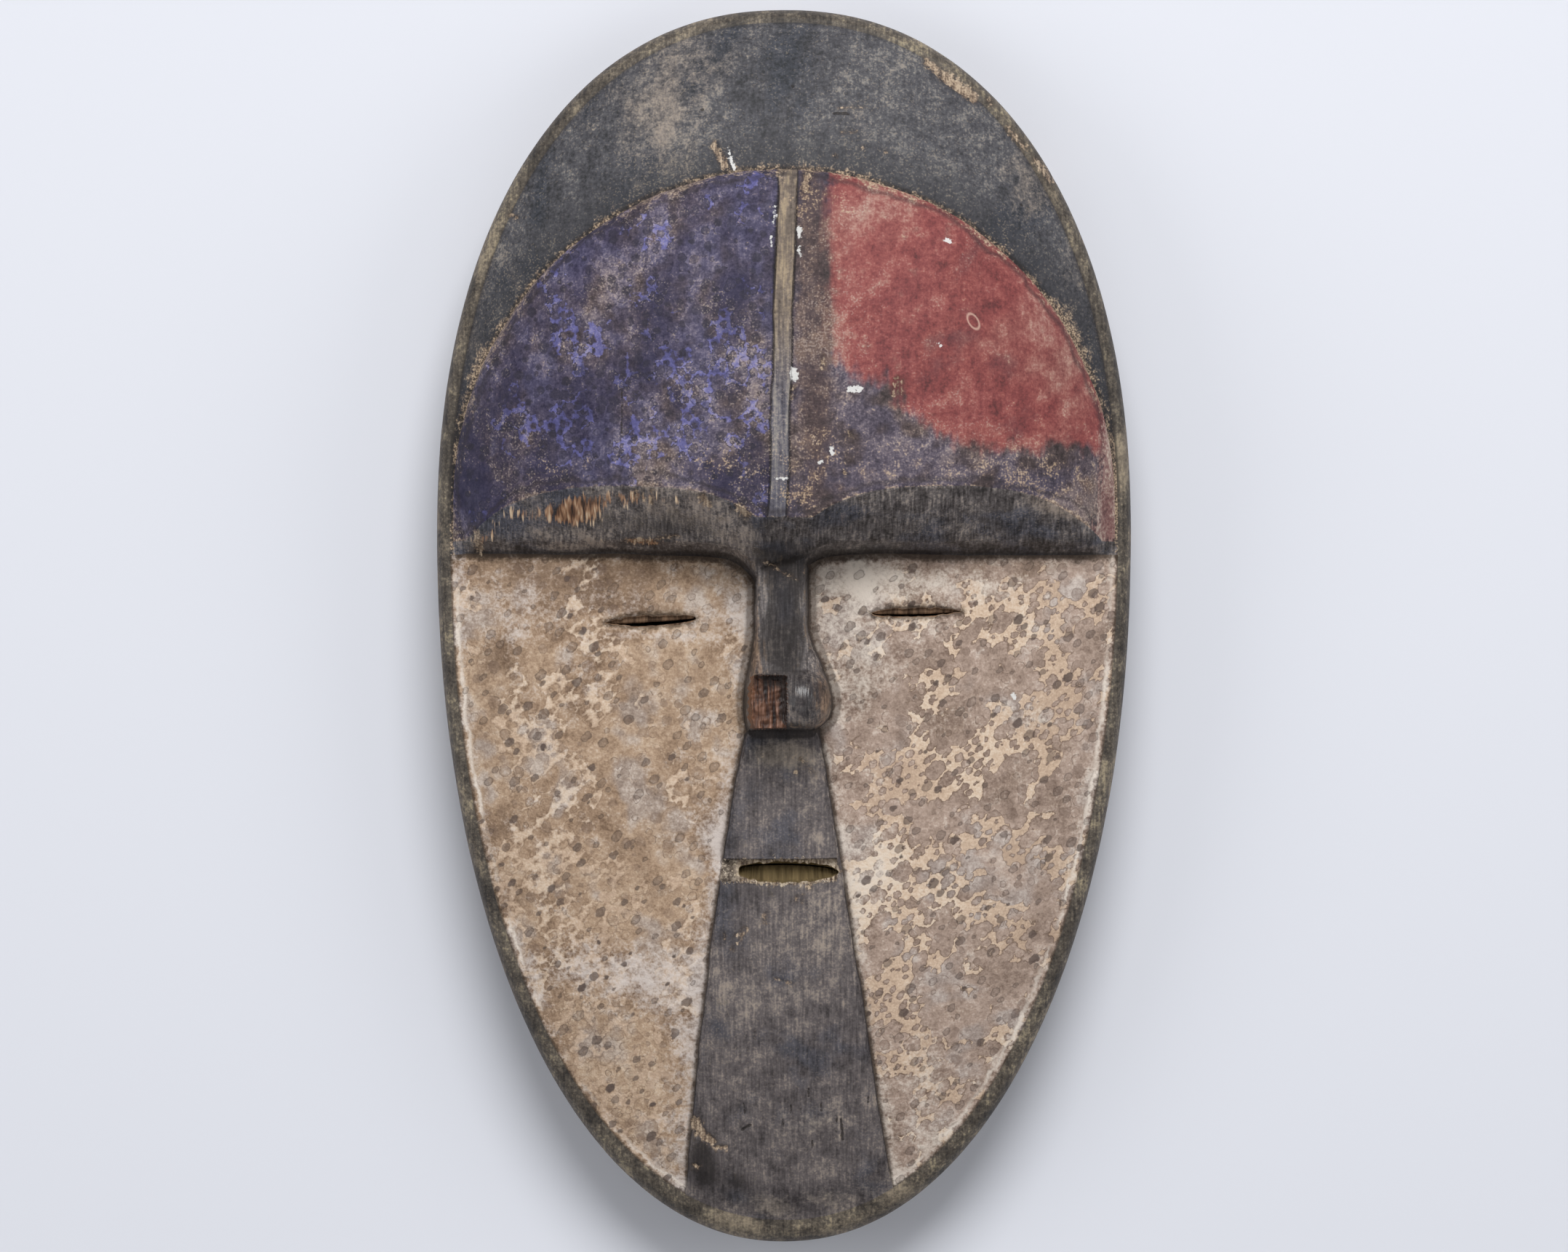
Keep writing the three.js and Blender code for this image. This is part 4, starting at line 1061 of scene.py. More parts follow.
# How far a point lies outside the drops of two sizes, in mm; the drops grow as the cover does.
def betweenDrops(n, where, cover, cells, smallest, largest):
    radii = {"Smallest": n(between, (cover, *smallest)), "Largest": n(between, (cover, *largest))}
    drops = [n(dropGroup, {"Vector": where, "Cell": cell, "Share": 1.1, **radii}) for cell in cells]
    return n("Math", [n("Math", ((drop, "Inside"), -1.0), **times) for drop in drops], **least)


def marksOver(n, colour, on):  # bare wood in chips and scratches, chalk flecks and dark pits
    ragged = n(weighted, (-1.7, on.grit, 2.0, on.fibre, 0.3, on.blotch, 0.5))
    tone = n(weighted, (0.0, on.fibre, 0.6, on.speck, 0.4))
    bareTone = n("ValToRGB", (tone,), [(0.2, "#5f4f42"), (0.5, "#8f7b67"), (0.8, "#baa68e")])
    bareField = n(weighted, (0.0, on.bare, 1.0, ragged, 1.0))
    colour = n(coat, (colour, "#3f342c", n(stepGroup, (bareField, -1.1, -0.1)), 0.35))
    colour = n(coat, (colour, bareTone, n(stepGroup, (bareField, -0.2, 0.7)), 0.8))
    colour = n(coat, (colour, "#d0cfcc", n(masked, (0.0, 0.5, 0.0, on.chalk, 1.0, ragged, 0.7)), 0.9))
    return n(coat, (colour, "#1f1a18", n(masked, (-0.15, 0.15, 0.0, on.pit, 1.0, ragged, 0.3)), 0.8))


# Sizes of drops in mm; a kind of drop has its size, then its smallest and largest radius and its share.
slip = {
    "slant": 48.0, "drawnOut": (1.0, 0.7, 1.0), "softSide": 14.0, "drops": (2.8, 6.2),
    "filmDrops": (4.4, 0.14, 0.5, 0.6), "darkDrops": (5.0, 0.07, 0.27, 0.6),
    # painted shade and grime along each gap: its width in mm and its strength
    "shadeAndGrime": {"sideGap": (0.8, 0.8), "edgeGap": (0.9, 0.8), "browGap": (2.4, 0.75), "slitGap": (1.5, 0.68)},
}


# a thin clay slip: pale flat islands, brown film drawn up into drops, chalk beside the edges
def kaolinSlip():
    fields = "slipIsland mottle cloud haze soil sideGap edgeGap browGap slitGap crest bare chalk pit"
    material, n, on = newFinish("kaolinSlip", fields)
    leaning = n("VectorRotate", {"Vector": on.bent, "Angle": math.radians(slip["slant"])},
            rotation_type="Z_AXIS")
    leaning = n("VectorMath", (leaning, slip["drawnOut"]), **times)  # drops are drawn out along a slant
    across = (n("SeparateXYZ", (on.mm,)), "X")
    rubbed = n(stepGroup, (across, slip["softSide"], -slip["softSide"]))  # the left cheek is softer
    # how far the drops of film close over the pale ground
    cover = n(masked, (-2.6, 3.6, 0.8, on.slipIsland, -1.0, on.blotch, -1.6))
    film = n(dropGroup, (on.bent, *slip["filmDrops"]))
    dark = n(dropGroup, (leaning, *slip["darkDrops"]))
    # brown film
    tone = n(weighted, (0.2, on.mottle, -0.06, on.cloud, 0.07, on.blotch, 0.3, on.speck, 0.1))
    tone = n(weighted, (0.0, tone, 1.0, on.grit, 0.2))
    pink = n("ValToRGB", (tone,), [(0.22, "#6f5c51"), (0.42, "#938073"), (0.56, "#a69285"),
            (0.78, "#c6b6a9")])
    warm = n("ValToRGB", (tone,), [(0.22, "#6f5947"), (0.42, "#967e68"), (0.56, "#ab937c"),
            (0.78, "#cab59e")])
    colour = n("Mix", {"Factor": rubbed, "A": pink, "B": warm}, **paint)
    grey = n("ValToRGB", (tone,), [(0.22, "#5d5450"), (0.5, "#8d837e"), (0.78, "#b6ada7")])
    colour = n(coat, (colour, grey, n(masked, (0.15, 1.0, -0.25, on.cloud, 1.0, on.blotch, 0.5)), 0.6))
    brown = n("ValToRGB", (tone,), [(0.22, "#4d3c30"), (0.5, "#75604f"), (0.78, "#9a836e")])
    mask = n(masked, (0.2, 1.2, -0.45, on.soil, 1.2, on.blotch, 0.9, on.cloud, -0.35))
    colour = n(coat, (colour, brown, mask, 0.7))
    # drops in the film, each with a darker line round it where it dried
    within = n("Math", (n(stepGroup, ((film, "Inside"), 0.0, 0.3)), (film, "Random")), **times)
    colour = n(coat, (colour, "#66544a", within, 0.45))
    broken = n(stepGroup, (on.blotch, 0.2, 0.75))
    ring = n("Math", (n(lineGroup, ((film, "Inside"), 0.3)), broken), **times)
    colour = n(coat, (colour, "#58463a", ring, 0.62))
    # pale ground left between the drops
    island = betweenDrops(n, leaning, cover, slip["drops"], (0.04, 0.68), (0.42, 0.95))
    island = n(weighted, (-0.25, island, 1.0, on.grit, 0.5))
    islandMask = n(stepGroup, (island, 0.0, n(between, (rubbed, 0.25, 1.0))))
    flat = n(weighted, (0.25, on.speck, 0.25, on.grit, 0.25, on.mottle, 0.25))
    islandColour = n("ValToRGB", (flat,), [(0.2, "#ad9580"), (0.5, "#c2aa93"), (0.8, "#d2bfaa")])
    colour = n(coat, (colour, islandColour, islandMask, n(between, (rubbed, 0.9, 0.75))))
    colour = n(coat, (colour, "#604c3e", n(lineGroup, (island, 0.3)), n(between, (rubbed, 0.65, 0.35))))
    # chalk bloom beside nose and lip band, inside the edge band, and in soft patches, one of them a painted
    # highlight beside the nose root
    strip = n(stepGroup, (on.sideGap, 7.0, 0.8))
    outer = n(stepGroup, (on.edgeGap, 7.0, 2.4))
    bloom = n(weighted, (-0.12, strip, 0.5, outer, 0.3, on.haze, 1.0, on.mottle, 0.2))
    bloom = n(weighted, (-0.67, bloom, 1.0, on.grit, 0.6, on.blotch, 0.6, on.speck, 0.15))
    bloomColour = n("Mix", {"Factor": rubbed, "A": "#cfc4b8", "B": "#c6bcb6"}, **paint)
    colour = n(coat, (colour, bloomColour, n(stepGroup, (bloom, 0.0, 1.1)), 0.85))
    shelf = n(weighted, (-3.2, on.edgeGap, 1.0, on.blotch, 1.6, on.grit, 0.8))
    shelf = n("Math", (n(lineGroup, (shelf, 1.1)), n(stepGroup, (on.cloud, -0.8, 0.7))), **times)
    colour = n(coat, (colour, "#d8cdc1", shelf, 0.85))
    # dark drops, darkest at their rims, most of them on the pale ground
    spot = n("Math", ((dark, "Random"), 0.6, 0.38), **timesPlus)
    spot = n("Math", (spot, n(between, (cover, 0.98, 0.4))), **times)
    spot = n("Math", (n(stepGroup, ((dark, "Inside"), -0.1, 0.2)),
            n("Math", (spot, 0.9, 0.08), **timesPlus)), **times)
    colour = n(coat, (colour, "#51443f", spot, 1.0))
    colour = n(coat, (colour, "#3b302b", n(lineGroup, ((dark, "Inside"), 0.28)), 0.5))
    # painted shade and grime in the corners, along the edge band, under the brow and round the slits
    ragged = n(weighted, (-0.75, on.grit, 0.8, on.blotch, 0.7))
    for gap, (width, strength) in slip["shadeAndGrime"].items():
        near = n(masked, (1.2, 0.1, 0.0, getattr(on, gap), 1.0 / width, ragged, 0.8))
        colour = n(coat, (colour, "#32281f", near, strength))
    # corners darker still: painted shade
    colour = n(coat, (colour, "#3a2f28", n(stepGroup, (on.crest, -0.03, -0.4)), 0.6))
    colour = marksOver(n, colour, on)
    relief = n("Math", (on.grit, 0.13), **times)
    closeFinish(n, colour, n(between, (islandMask, 0.85, 0.72)), relief, 0.25)
    return material


def charcoalStain(name, look):  # soot and charcoal in oil: mostly dull, thin where it is rubbed
    look = {**usualStain, **look}
    fields = "bare chalk pit crest discGap soot raw indigo polish rust mottle cloud slitGap down "
    material, n, on = newFinish(name, fields + look["hazeField"])
    haze = getattr(on, look["hazeField"])
    fine, fibre = look["grainShares"]
    broad = n(weighted, (0.0, on.mottle, 0.07, on.cloud, 0.06, on.blotch, 0.26, on.speck, 0.08))
    tone = n(weighted, (0.5 - 0.5 * (fine + fibre + 0.34), on.grit, fine, on.fibre, fibre, broad, 1.0))
    colour = n("ValToRGB", (tone,), list(zip((0.24, 0.44, 0.58, 0.78), look["tones"])))
    # blue-black where the stain is thick, with a painted bluish sheen on the nose bridge; brown and grey
    # where it is rubbed
    deep = n("ValToRGB", (tone,), [(0.2, look["deep"][0]), (0.75, look["deep"][1])])
    mask = n(masked, (0.1, 1.1, -0.2, on.cloud, -0.8, on.blotch, 0.5, on.indigo, 1.3))
    colour = n(coat, (colour, deep, mask, 0.75))
    pale = n("ValToRGB", (tone,), [(0.2, look["haze"][0]), (0.75, look["haze"][1])])
    mask = n(masked, (0.35, 1.45, -0.55, on.mottle, look["patchy"], on.grit, 0.5, haze, 1.2, on.blotch, 0.6))
    colour = n(coat, (colour, pale, mask, 0.7))
    rust = n("ValToRGB", (tone,), [(0.2, "#2b201a"), (0.5, "#5a4535"), (0.8, "#94755a")])
    mask = n(masked, (0.3, 1.0, -0.5, on.rust, 1.0, on.blotch, 0.5, on.fibre, 0.5))
    colour = n(coat, (colour, rust, mask, 0.75))
    # black from soot, and the painted shadow under the nose foot
    black = n(masked, (0.25, 0.75, -0.35, on.soot, 1.0, on.grit, 0.35, on.blotch, 0.4))
    colour = n(coat, (colour, "#1e1a19", black, 0.8))
    # darker in the shade of the forehead's step
    shaded = n(masked, (-14.0, 2.0, 0.0, on.discGap, 1.0, on.blotch, 6.0))
    colour = n(coat, (colour, "#28282c", shaded, look["shade"]))
    # fine pale specks, and crumbs where the stain has come away
    speck = n(masked, (0.92, 1.2, 0.0, on.speck, 1.0, on.blotch, 0.3, on.mottle, 0.1, black, -0.3))
    colour = n(coat, (colour, look["fleck"], speck, look["speckShare"]))
    crumb = n(masked, (1.3, 1.6, look["crumbShare"], on.grit, 1.0, on.blotch, 0.6, haze, 0.3, black, -0.4))
    colour = n(coat, (colour, look["fleck"], crumb, 0.7))
    # raised edges are worn to wood; corners away from the openings get painted shade and grime
    mask = n(masked, (look["wear"], look["wear"] + 0.5, 0.0, on.crest, 0.75, on.grit, 0.7, on.blotch, 0.7))
    colour = n(coat, (colour, look["worn"], mask, 0.5))
    # corner: painted shade and grime in concave places, kept off the slit edges
    beyond = n(stepGroup, (on.slitGap, 2.5, 6.0))
    corner = n("Math", (n(stepGroup, (on.crest, -0.03, -0.4)), beyond), **times)
    wall = n(weighted, (0.07, on.streak, 0.4, on.fibre, 0.25, on.blotch, 0.2, on.mottle, 0.1))
    wall = n("ValToRGB", (wall,), [(0.25, "#2b211b"), (0.45, "#45372c"), (0.6, "#5a493a"),
            (0.8, "#7f6a55")])
    colour = n(coat, (colour, wall, on.down, 0.72))
    colour = n(coat, (colour, "#201a18", corner, 0.75))
    # tan crumbs lodged along the step round the forehead
    lodged = n(weighted, (-0.38, on.discGap, 0.25, on.grit, 1.1, on.blotch, 0.8, haze, 0.95))
    lodged = n("Math", (n(stepGroup, (lodged, 0.2, 1.0)), n(stepGroup, (on.discGap, -7.0, -2.0))), **times)
    crumbTone = n("ValToRGB", (on.speck,), [(0.15, "#5b4c40"), (0.5, "#957f6a"), (0.9, "#c8b092")])
    colour = n(coat, (colour, crumbTone, lodged, look["shade"]))
    # splintered wood: orange-tan strands with dark gaps between them
    strandTone = n(weighted, (0.0, on.fibre, 0.65, on.streak, 0.35))
    strandTone = n("ValToRGB", (strandTone,), [(0.2, "#2a1c15"), (0.42, "#6a4a36"), (0.62, "#a37c5e"),
            (0.85, "#dcc3a4")])
    mask = n(masked, (1.95, 2.3, 0.0, on.fibre, 0.9, on.streak, 0.8, on.raw, 1.7))
    colour = n(coat, (colour, strandTone, mask, 0.9))
    # frayed round an opening
    frayed = n(masked, (0.6, 0.15, -0.55, on.slitGap, 0.36, on.grit, 1.2))
    frayTone = n("ValToRGB", (on.fibre,), [(0.2, "#5a4c41"), (0.5, "#978571"), (0.8, "#cbbba3")])
    colour = n(coat, (colour, frayTone, frayed, 0.85))
    colour = marksOver(n, colour, on)
    smooth = n(stepGroup, (on.polish, 0.1, 0.7))
    colour = n(coat, (colour, "#211e20", smooth, 0.66))
    rough = n(between, (smooth, look["roughness"], 0.27))
    rough = n(between, (black, rough, 0.9))
    relief = n("Math", (getattr(on, look["grain"]), look["lift"]), **times)
    closeFinish(n, colour, rough, relief, look["shine"])
    return material


# Sizes in mm; the scrubbed oval has its middle, turn, narrowing, radius and the width of its line.
pigments = {
    "drops": (2.9, 6.0), "blobs": (3.8, 0.14, 0.48, 1.1), "barFrom": 66.0, "barTo": 104.0,
    "ovalAt": (60.8, 97.8, 0.0), "ovalTurn": -32.0, "ovalShape": (1.0, 0.55, 0.0), "ovalRadius": 1.5,
    "ovalLine": 0.45,
}


def forePigments():  # ultramarine and red ochre rubbed into dark wood, worn through to tan crumbs
    fields = "blueIsland mottle cloud red redInside leftSide barGap discGap archGap crumbs indigo umber "
    material, n, on = newFinish("rubbedPigments", fields + "smear bare chalk pit")
    cover = n(masked, (-4.0, 3.0, 1.2, on.blueIsland, -1.0, on.blotch, -2.4))
    blob = n(dropGroup, (on.bent, *pigments["blobs"]))
    tone = n(weighted, (0.14, on.mottle, 0.08, on.cloud, 0.06, on.speck, 0.1, on.blotch, 0.3))
    tone = n(weighted, (0.0, tone, 1.0, on.grit, 0.24, on.fibre, 0.08))
    # brown-purple ground with tan and slate patches
    colour = n("ValToRGB", (tone,), [(0.24, "#2a2323"), (0.44, "#463b3b"), (0.58, "#5f514e"),
            (0.78, "#93816f")])
    slate = n("ValToRGB", (tone,), [(0.24, "#252332"), (0.5, "#4b4759"), (0.78, "#7d7788")])
    colour = n(coat, (colour, slate, n(masked, (-0.3, 0.6, -0.3, on.cloud, 1.0, on.blotch, 0.6)), 0.6))
    left = n(stepGroup, (on.leftSide, 3.1, 3.5))
    indigo = n("ValToRGB", (tone,), [(0.24, "#222040"), (0.5, "#41405f"), (0.78, "#6f6b86")])
    leftShade = n(weighted, (0.3, on.mottle, -0.5, on.blotch, 0.4))
    leftShade = n("Math", (n(stepGroup, (leftShade, -0.2, 0.9)), left), **times)
    colour = n(coat, (colour, indigo, leftShade, 0.6))
    mask = n(masked, (0.45, 1.5, -0.62, on.mottle, 0.9, on.blotch, 0.7, on.grit, 0.3, on.crumbs, 0.6))
    colour = n(coat, (colour, "#74645c", mask, 0.55))
    # ultramarine left between drops of darker film
    island = betweenDrops(n, on.bent, cover, pigments["drops"], (0.1, 0.7), (0.46, 1.0))
    island = n(weighted, (-0.5, island, 1.0, on.grit, 1.0))
    islandMask = n("Math", (n(stepGroup, (island, -0.25, 0.6)), left), **times)
    blueTone = n(weighted, (0.15, on.blotch, 0.4, on.grit, 0.3, on.mottle, 0.15))
    blueTone = n("ValToRGB", (blueTone,), [(0.2, "#45446f"), (0.45, "#57568a"), (0.6, "#68679b"),
            (0.8, "#8784ad")])
    colour = n(coat, (colour, blueTone, islandMask, 0.75))
    shaded = n(weighted, (-0.4, on.cloud, -1.0, on.blotch, 0.8, on.indigo, 1.4))
    shaded = n("Math", (n(stepGroup, (shaded, 0.2, 1.0)), left), **times)
    colour = n(coat, (colour, "#25233c", shaded, 0.5))
    within = n("Math", (n(stepGroup, ((blob, "Inside"), 0.0, 0.35)),
            n("Math", (left, (blob, "Random")), **times)), **times)
    colour = n(coat, (colour, "#25222c", within, 0.8))
    broken = n("Math", (n(stepGroup, (on.blotch, 0.2, 0.7)), left), **times)
    for line, width in ((island, 0.3), ((blob, "Inside"), 0.28)):
        ring = n("Math", (n(lineGroup, (line, width)), broken), **times)
        colour = n(coat, (colour, "#1f1c26", ring, 0.7))
    # red ochre, soft at its borders
    frayed = n(weighted, (-4.4, on.redInside, 1.0, on.streak, 4.0, on.blotch, 5.0, on.mottle, 1.5))
    redMask = n("Math", (n(stepGroup, (frayed, -2.4, 3.0)), n(stepGroup, (on.leftSide, -8.0, -12.0))),
            **times)
    redTone = n(weighted, (0.03, on.red, -0.14, on.streak, 0.07, tone, 0.9, on.mottle, 0.05))
    redTone = n("ValToRGB", (redTone,), [(0.2, "#552b2c"), (0.4, "#783b3a"), (0.56, "#8c4c47"),
            (0.78, "#a9786c")])
    smudge = n(weighted, (-0.6, on.cloud, -1.0, on.blotch, 0.8, on.red, 0.3))
    redTone = n(coat, (redTone, "#4b3238", n(stepGroup, (smudge, 0.2, 1.1)), 0.4))
    pinkish = n("ValToRGB", (tone,), [(0.24, "#5d4340"), (0.5, "#87685f"), (0.78, "#aa9284")])
    mask = n(masked, (0.0, 1.4, 0.1, on.mottle, 0.6, on.red, -0.9, on.blotch, 0.4))
    redTone = n(coat, (redTone, pinkish, mask, 0.5))
    colour = n(coat, (colour, redTone, redMask, 0.94))
    # a scrubbed oval on the red
    oval = n("VectorMath", (on.mm, pigments["ovalAt"]), operation="SUBTRACT")
    turn = {"Angle": math.radians(pigments["ovalTurn"])}
    oval = n("VectorRotate", {"Vector": oval, **turn}, rotation_type="Z_AXIS")
    oval = n("VectorMath", (oval, pigments["ovalShape"]), **times)
    oval = n("VectorMath", (oval,), operation="LENGTH")
    oval = n("Math", ((oval, "Value"), -pigments["ovalRadius"]), **plus)
    colour = n(coat, (colour, "#c9a898", n(lineGroup, (oval, pigments["ovalLine"])), 0.6))
    dim = n(weighted, (-0.4, on.umber, 1.0, on.blotch, 0.7, on.cloud, 0.25))
    umber = n("ValToRGB", (tone,), [(0.24, "#2a2021"), (0.5, "#453737"), (0.78, "#6d594e")])
    colour = n(coat, (colour, umber, n(stepGroup, (dim, 0.2, 0.9)), 0.85))
    # the bar: weathered above, blue-grey below
    high = n(stepGroup, ((n("SeparateXYZ", (on.mm,)), "Y"), pigments["barFrom"], pigments["barTo"]))
    barGrain = n(weighted, (0.0, on.streak, 0.4, on.fibre, 0.35, on.grit, 0.25))
    lowTone = n("ValToRGB", (barGrain,), [(0.2, "#33323c"), (0.5, "#5b5961"), (0.8, "#8a857f")])
    highTone = n("ValToRGB", (barGrain,), [(0.2, "#403832"), (0.5, "#6e6257"), (0.8, "#9a8970")])
    barTone = n("Mix", {"Factor": high, "A": lowTone, "B": highTone}, **paint)
    colour = n(coat, (colour, barTone, n(stepGroup, (on.barGap, 0.25, -0.25)), 0.9))
    # a dark line along the foot of the bar: painted shade in the groove there
    groove = n(lineGroup, (on.barGap, n(between, (on.streak, 0.3, 1.0))))
    colour = n(coat, (colour, "#19161a", groove, 0.8))
    # crumbs of bare ground, of many tones
    crumbTone = n("ValToRGB", (on.speck,), [(0.2, "#6d5b4a"), (0.5, "#8f785f"), (0.9, "#b89f80")])
    mask = n(masked, (1.2, 1.6, -0.07, on.crumbs, 0.45, on.grit, 0.6, on.blotch, 0.6, on.speck, 0.45))
    colour = n(coat, (colour, crumbTone, mask, 0.55))
    # the worn line round the forehead and along the arches, wide in places, with a dark line inside it
    lineTone = n(weighted, (0.0, on.speck, 0.5, on.grit, 0.5))
    lineTone = n("ValToRGB", (lineTone,), [(0.25, "#6b5b4e"), (0.5, "#97826d"), (0.75, "#bda78d")])
    rightward = n("MapRange", {"Value": on.leftSide, "From Min": 40.0, "From Max": -20.0, "To Min": 0.4})
    for gap, thin, strength in (("discGap", 0.6, 0.85), ("archGap", 1.3, 0.6)):
        dim = n(weighted, (-3.2, getattr(on, gap), 1.0, on.blotch, 1.2, on.mottle, -1.6))
        colour = n(coat, (colour, "#2a2427", n(lineGroup, (dim, 1.5)), 0.55))
        away = n(weighted, (1.6, getattr(on, gap), thin, on.grit, -2.0, on.blotch, -1.4, on.mottle, -1.0))
        line = n("Math", (n(stepGroup, (away, 1.0, -0.5)), rightward), **times)
        colour = n(coat, (colour, lineTone, line, strength))
    smear = n(weighted, (-0.55, on.smear, 1.3, on.grit, 0.6, on.fibre, 0.5))
    smearTone = n(weighted, (0.0, on.grit, 0.5, on.streak, 0.5))
    smearTone = n("ValToRGB", (smearTone,), [(0.2, "#5d403e"), (0.45, "#7f5b57"), (0.6, "#8f736b"),
            (0.8, "#b5a195")])
    colour = n(coat, (colour, smearTone, n(stepGroup, (smear, 0.3, 0.95)), 0.85))
    # specks of light here and there
    mask = n(masked, (1.05, 1.4, 0.0, on.speck, 1.0, on.blotch, 0.4, on.mottle, 0.2))
    colour = n(coat, (colour, "#ab9d94", mask, 0.3))
    colour = marksOver(n, colour, on)
    closeFinish(n, colour, 0.68, n("Math", (on.grit, 0.12), **times), 0.25)
    return material


def tornWood():  # the flat where the left end of the nose split off: red-brown fibre, orange at its left edge
    material, n, on = newFinish("tornWood", "crest")
    tone = n(weighted, (-0.13, on.fibre, 0.5, on.streak, 0.35, on.blotch, 0.4))
    colour = n("ValToRGB", (tone,), [(0.2, "#1a0f0c"), (0.45, "#41291f"), (0.62, "#61412f"),
            (0.85, "#977262")])
    mask = n(masked, (-6.2, -8.4, 0.0, (n("SeparateXYZ", (on.mm,)), "X"), 1.0, tone, 4.0, on.blotch, 2.0))
    colour = n(coat, (colour, "#8b5c3e", mask, 0.5))
    # darker in its corners: painted shade
    corner = n(stepGroup, (on.crest, 0.0, -0.3))
    colour = n(coat, (colour, "#1a1211", corner, 0.8))
    relief = n(weighted, (0.0, on.fibre, 0.35, on.streak, 0.3, on.blotch, 1.6))
    closeFinish(n, colour, 0.55, relief, 0.35)
    return material


def cutWood():  # the sides of the openings: olive-brown in the mouth, dark in the eyes
    material, n, on = newFinish("cutWood")
    tone = n(weighted, (0.0, on.streak, 0.6, on.fibre, 0.4))
    mouth = n("ValToRGB", (tone,), [(0.2, "#54472f"), (0.8, "#796848")])
    eyes = n("ValToRGB", (tone,), [(0.2, "#4a382b"), (0.8, "#8c715a")])
    where = n(stepGroup, ((n("SeparateXYZ", (on.mm,)), "Y"), -60.0, -50.0))
    closeFinish(n, n("Mix", {"Factor": where, "A": mouth, "B": eyes}, **paint), 0.85, tone, 0.2)
    return material


def bareBack():  # the hollowed back: plain cut wood, darkened by handling
    material, n, on = newFinish("cutWoodBack", "mottle cloud")
    tone = n(weighted, (0.1, on.streak, 0.3, on.fibre, 0.3, on.grit, 0.2, on.mottle, 0.08))
    colour = n("ValToRGB", (tone,), [(0.2, "#3b2d24"), (0.5, "#5c4a3b"), (0.8, "#826d58")])
    cuts = n("TexVoronoi", {"Vector": n("VectorMath", (on.mm, (1.0, 0.4, 0.5)), **times),
            "Scale": 1 / toolMarks["Scoop Size"]})
    ridge = n(weighted, (-0.2, (cuts, "Distance"), 1.0, on.grit, 0.2, on.blotch, 0.2))
    colour = n(coat, (colour, "#9c866d", n(stepGroup, (ridge, 0.3, 0.9)), 0.3))
    colour = n(coat, (colour, "#33271f", n(stepGroup, (ridge, 0.45, -0.1)), 0.3))
    colour = n(coat, (colour, "#3a2e27", n(stepGroup, (on.cloud, 0.3, 1.5)), 0.6))
    closeFinish(n, colour, 0.8, n("Math", (on.streak, 0.4), **times), 0.25)
    return material


usualStain = {
    "patchy": 0.7, "hazeField": "crownHaze", "speckShare": 0.2, "crumbShare": -0.15, "shade": 0.0,
    "grain": "grit",
}
stains = {  # one dark stain over the whole carving, met by the hand in different ways
    "crown": {  # flat grey-black with a faint bloom
        "patchy": 0.55, "tones": ("#29292b", "#414044", "#504f52", "#7b7773"), "deep": ("#1f2227", "#454852"),
        "haze": ("#4a4441", "#8f8378"), "fleck": "#a5957f", "worn": "#8c7860", "wear": 1.5, "shade": 0.6,
        "grainShares": (0.32, 0.1), "lift": 0.12, "roughness": 0.66, "shine": 0.3,
    },
    "brow": {  # sooted, with the fibre standing up
        "tones": ("#2a2625", "#4d4746", "#635d5c", "#988d85"), "deep": ("#1f2129", "#5a5c69"),
        "haze": ("#3f3733", "#8f8176"), "hazeField": "crumbs", "fleck": "#a3937f", "crumbShare": -0.22,
        "worn": "#86705c", "wear": 1.7, "grainShares": (0.28, 0.32), "grain": "fibre", "lift": 0.16,
        "roughness": 0.55, "shine": 0.34,
    },
    "lipBand": {  # rubbed thin along the grain
        "patchy": 0.25, "tones": ("#332e2e", "#504a4a", "#615a59", "#8b8077"), "deep": ("#2a2a2f", "#55555e"),
        "haze": ("#544c46", "#9d9184"), "hazeField": "dust", "fleck": "#a4937f", "speckShare": 0.12,
        "worn": "#84715f", "wear": 1.5, "grainShares": (0.2, 0.22), "grain": "fibre", "lift": 0.12,
        "roughness": 0.7, "shine": 0.28,
    },
    "lips": {  # frayed to light, dull wood
        "tones": ("#4a3e34", "#86786a", "#a39483", "#c6b8a6"), "deep": ("#3c3630", "#70665c"),
        "haze": ("#7a6b5b", "#b9a994"), "hazeField": "dust", "fleck": "#cdbfaa", "speckShare": 0.5,
        "crumbShare": 0.15, "worn": "#b5a085", "wear": 1.1, "grainShares": (0.5, 0.1), "lift": 0.35,
        "roughness": 0.85, "shine": 0.2,
    },
    "edge": {  # browner and smoother where hands hold it
        "tones": ("#2c2723", "#49423a", "#5e564c", "#94886f"), "deep": ("#231f1c", "#4a443d"),
        "haze": ("#4c443a", "#8f8270"), "fleck": "#a08d74", "speckShare": 0.15, "worn": "#9a8870",
        "wear": 1.45, "grainShares": (0.28, 0.2), "lift": 0.1, "roughness": 0.56, "shine": 0.32,
    },
}
materials = {
    "crown": charcoalStain("charcoalStain", stains["crown"]),
    "forehead": forePigments(),
    "brow": charcoalStain("sootedBrow", stains["brow"]),
    "face": kaolinSlip(),
    "fracture": tornWood(),
    "lipBand": charcoalStain("rubbedCharcoal", stains["lipBand"]),
    "lips": charcoalStain("frayedLip", stains["lips"]),
    "cut": cutWood(),
    "edge": charcoalStain("handledEdge", stains["edge"]),
    "hollow": bareBack(),
}
report(f"{len(materials)} finishes made")

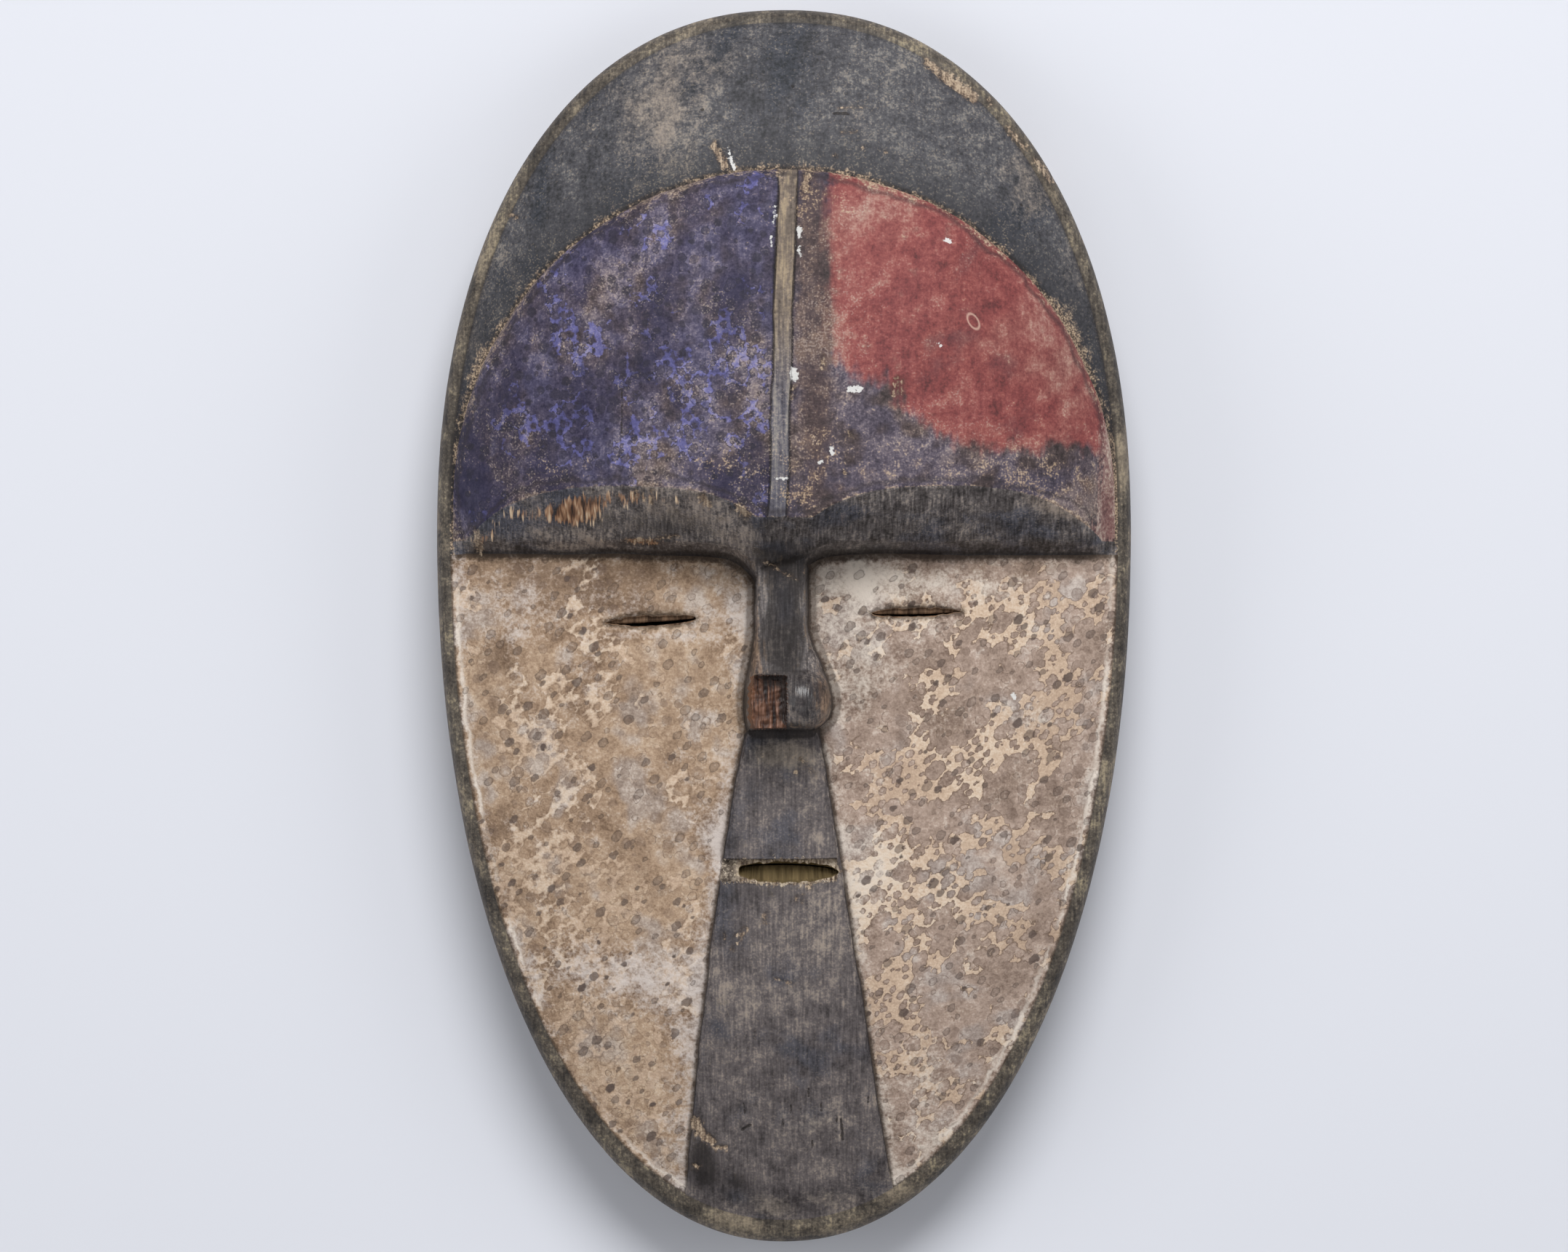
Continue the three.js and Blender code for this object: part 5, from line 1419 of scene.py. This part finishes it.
for name in finishes:
    mesh.materials.append(materials[name])
carve = maskSkin.modifiers.new("carvingMarks", "NODES")
carve.node_group = carvingTree()
for item in carve.node_group.interface.items_tree:
    if item.in_out == "INPUT" and item.name in toolMarks:
        carve[item.identifier] = toolMarks[item.name]
carved = bpy.data.meshes.new_from_object(maskSkin.evaluated_get(bpy.context.evaluated_depsgraph_get()))
maskSkin.modifiers.clear()
maskSkin.data = carved
maskSkin.name = "carvedMask"
carved.set_sharp_from_angle(angle=math.radians(75.0))
report("tool marks cut")
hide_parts("mask")
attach(maskSkin, "root")

# Floor, light and camera.
stage = {
    "floor": "#d1d3da", "floorSize": 6.0, "world": "#f2f4f8", "worldStrength": 0.33,
    "photoWidth": 2156, "photoHeight": 1721, "frameHeight": 0.4055, "cameraHeight": 4.0, "planeHeight": 0.035,
}
half = stage["floorSize"] / 2
floorMesh = bpy.data.meshes.new("paleFloor")
floorCorners = [(x * half, y * half, 0.0) for x, y in ((-1, -1), (1, -1), (1, 1), (-1, 1))]
floorMesh.from_pydata(floorCorners, [], [(0, 1, 2, 3)])
floor = bpy.data.objects.new("paleFloor", floorMesh)
bpy.context.scene.collection.objects.link(floor)
paper = bpy.data.materials.new("matteStudioPaper")
paper.use_nodes = True
paper.node_tree.nodes["Principled BSDF"].inputs["Base Color"].default_value = linear(stage["floor"])
paper.node_tree.nodes["Principled BSDF"].inputs["Roughness"].default_value = 0.95
floorMesh.materials.append(paper)

lamps = {  # place, width, power: a large key from the crown side, fills to the left, right and chin
    "key": ((0.12, 1.35, 1.75), 1.2, 43.0),
    "fillLeft": ((-1.9, 0.1, 1.5), 1.4, 11.0),
    "fillRight": ((1.9, 0.2, 1.5), 1.4, 9.0),
    "front": ((0.0, -1.2, 2.6), 1.6, 7.0),
}
for name, (place, width, power) in lamps.items():
    lamp = bpy.data.lights.new(name, "AREA")
    lamp.size, lamp.energy, lamp.shape = width, power, "DISK"
    holder = bpy.data.objects.new(name, lamp)
    holder.location = place
    holder.rotation_euler = (-Vector(place)).to_track_quat("-Z", "Y").to_euler()
    bpy.context.scene.collection.objects.link(holder)
world = bpy.data.worlds.new("studio")
world.use_nodes = True
world.node_tree.nodes["Background"].inputs["Color"].default_value = linear(stage["world"])
world.node_tree.nodes["Background"].inputs["Strength"].default_value = stage["worldStrength"]
bpy.context.scene.world = world
bpy.context.scene.view_settings.view_transform = "Standard"

camera = bpy.data.cameras.new("camera")
camera.sensor_width = 36.0
frameWidth = stage["frameHeight"] * stage["photoWidth"] / stage["photoHeight"]
camera.lens = camera.sensor_width * (stage["cameraHeight"] - stage["planeHeight"]) / frameWidth
camera.clip_end = 20.0
eye = bpy.data.objects.new("camera", camera)
eye.location = (0.0, 0.0, stage["cameraHeight"])
bpy.context.scene.collection.objects.link(eye)
bpy.context.scene.camera = eye
report("floor, light and camera set")
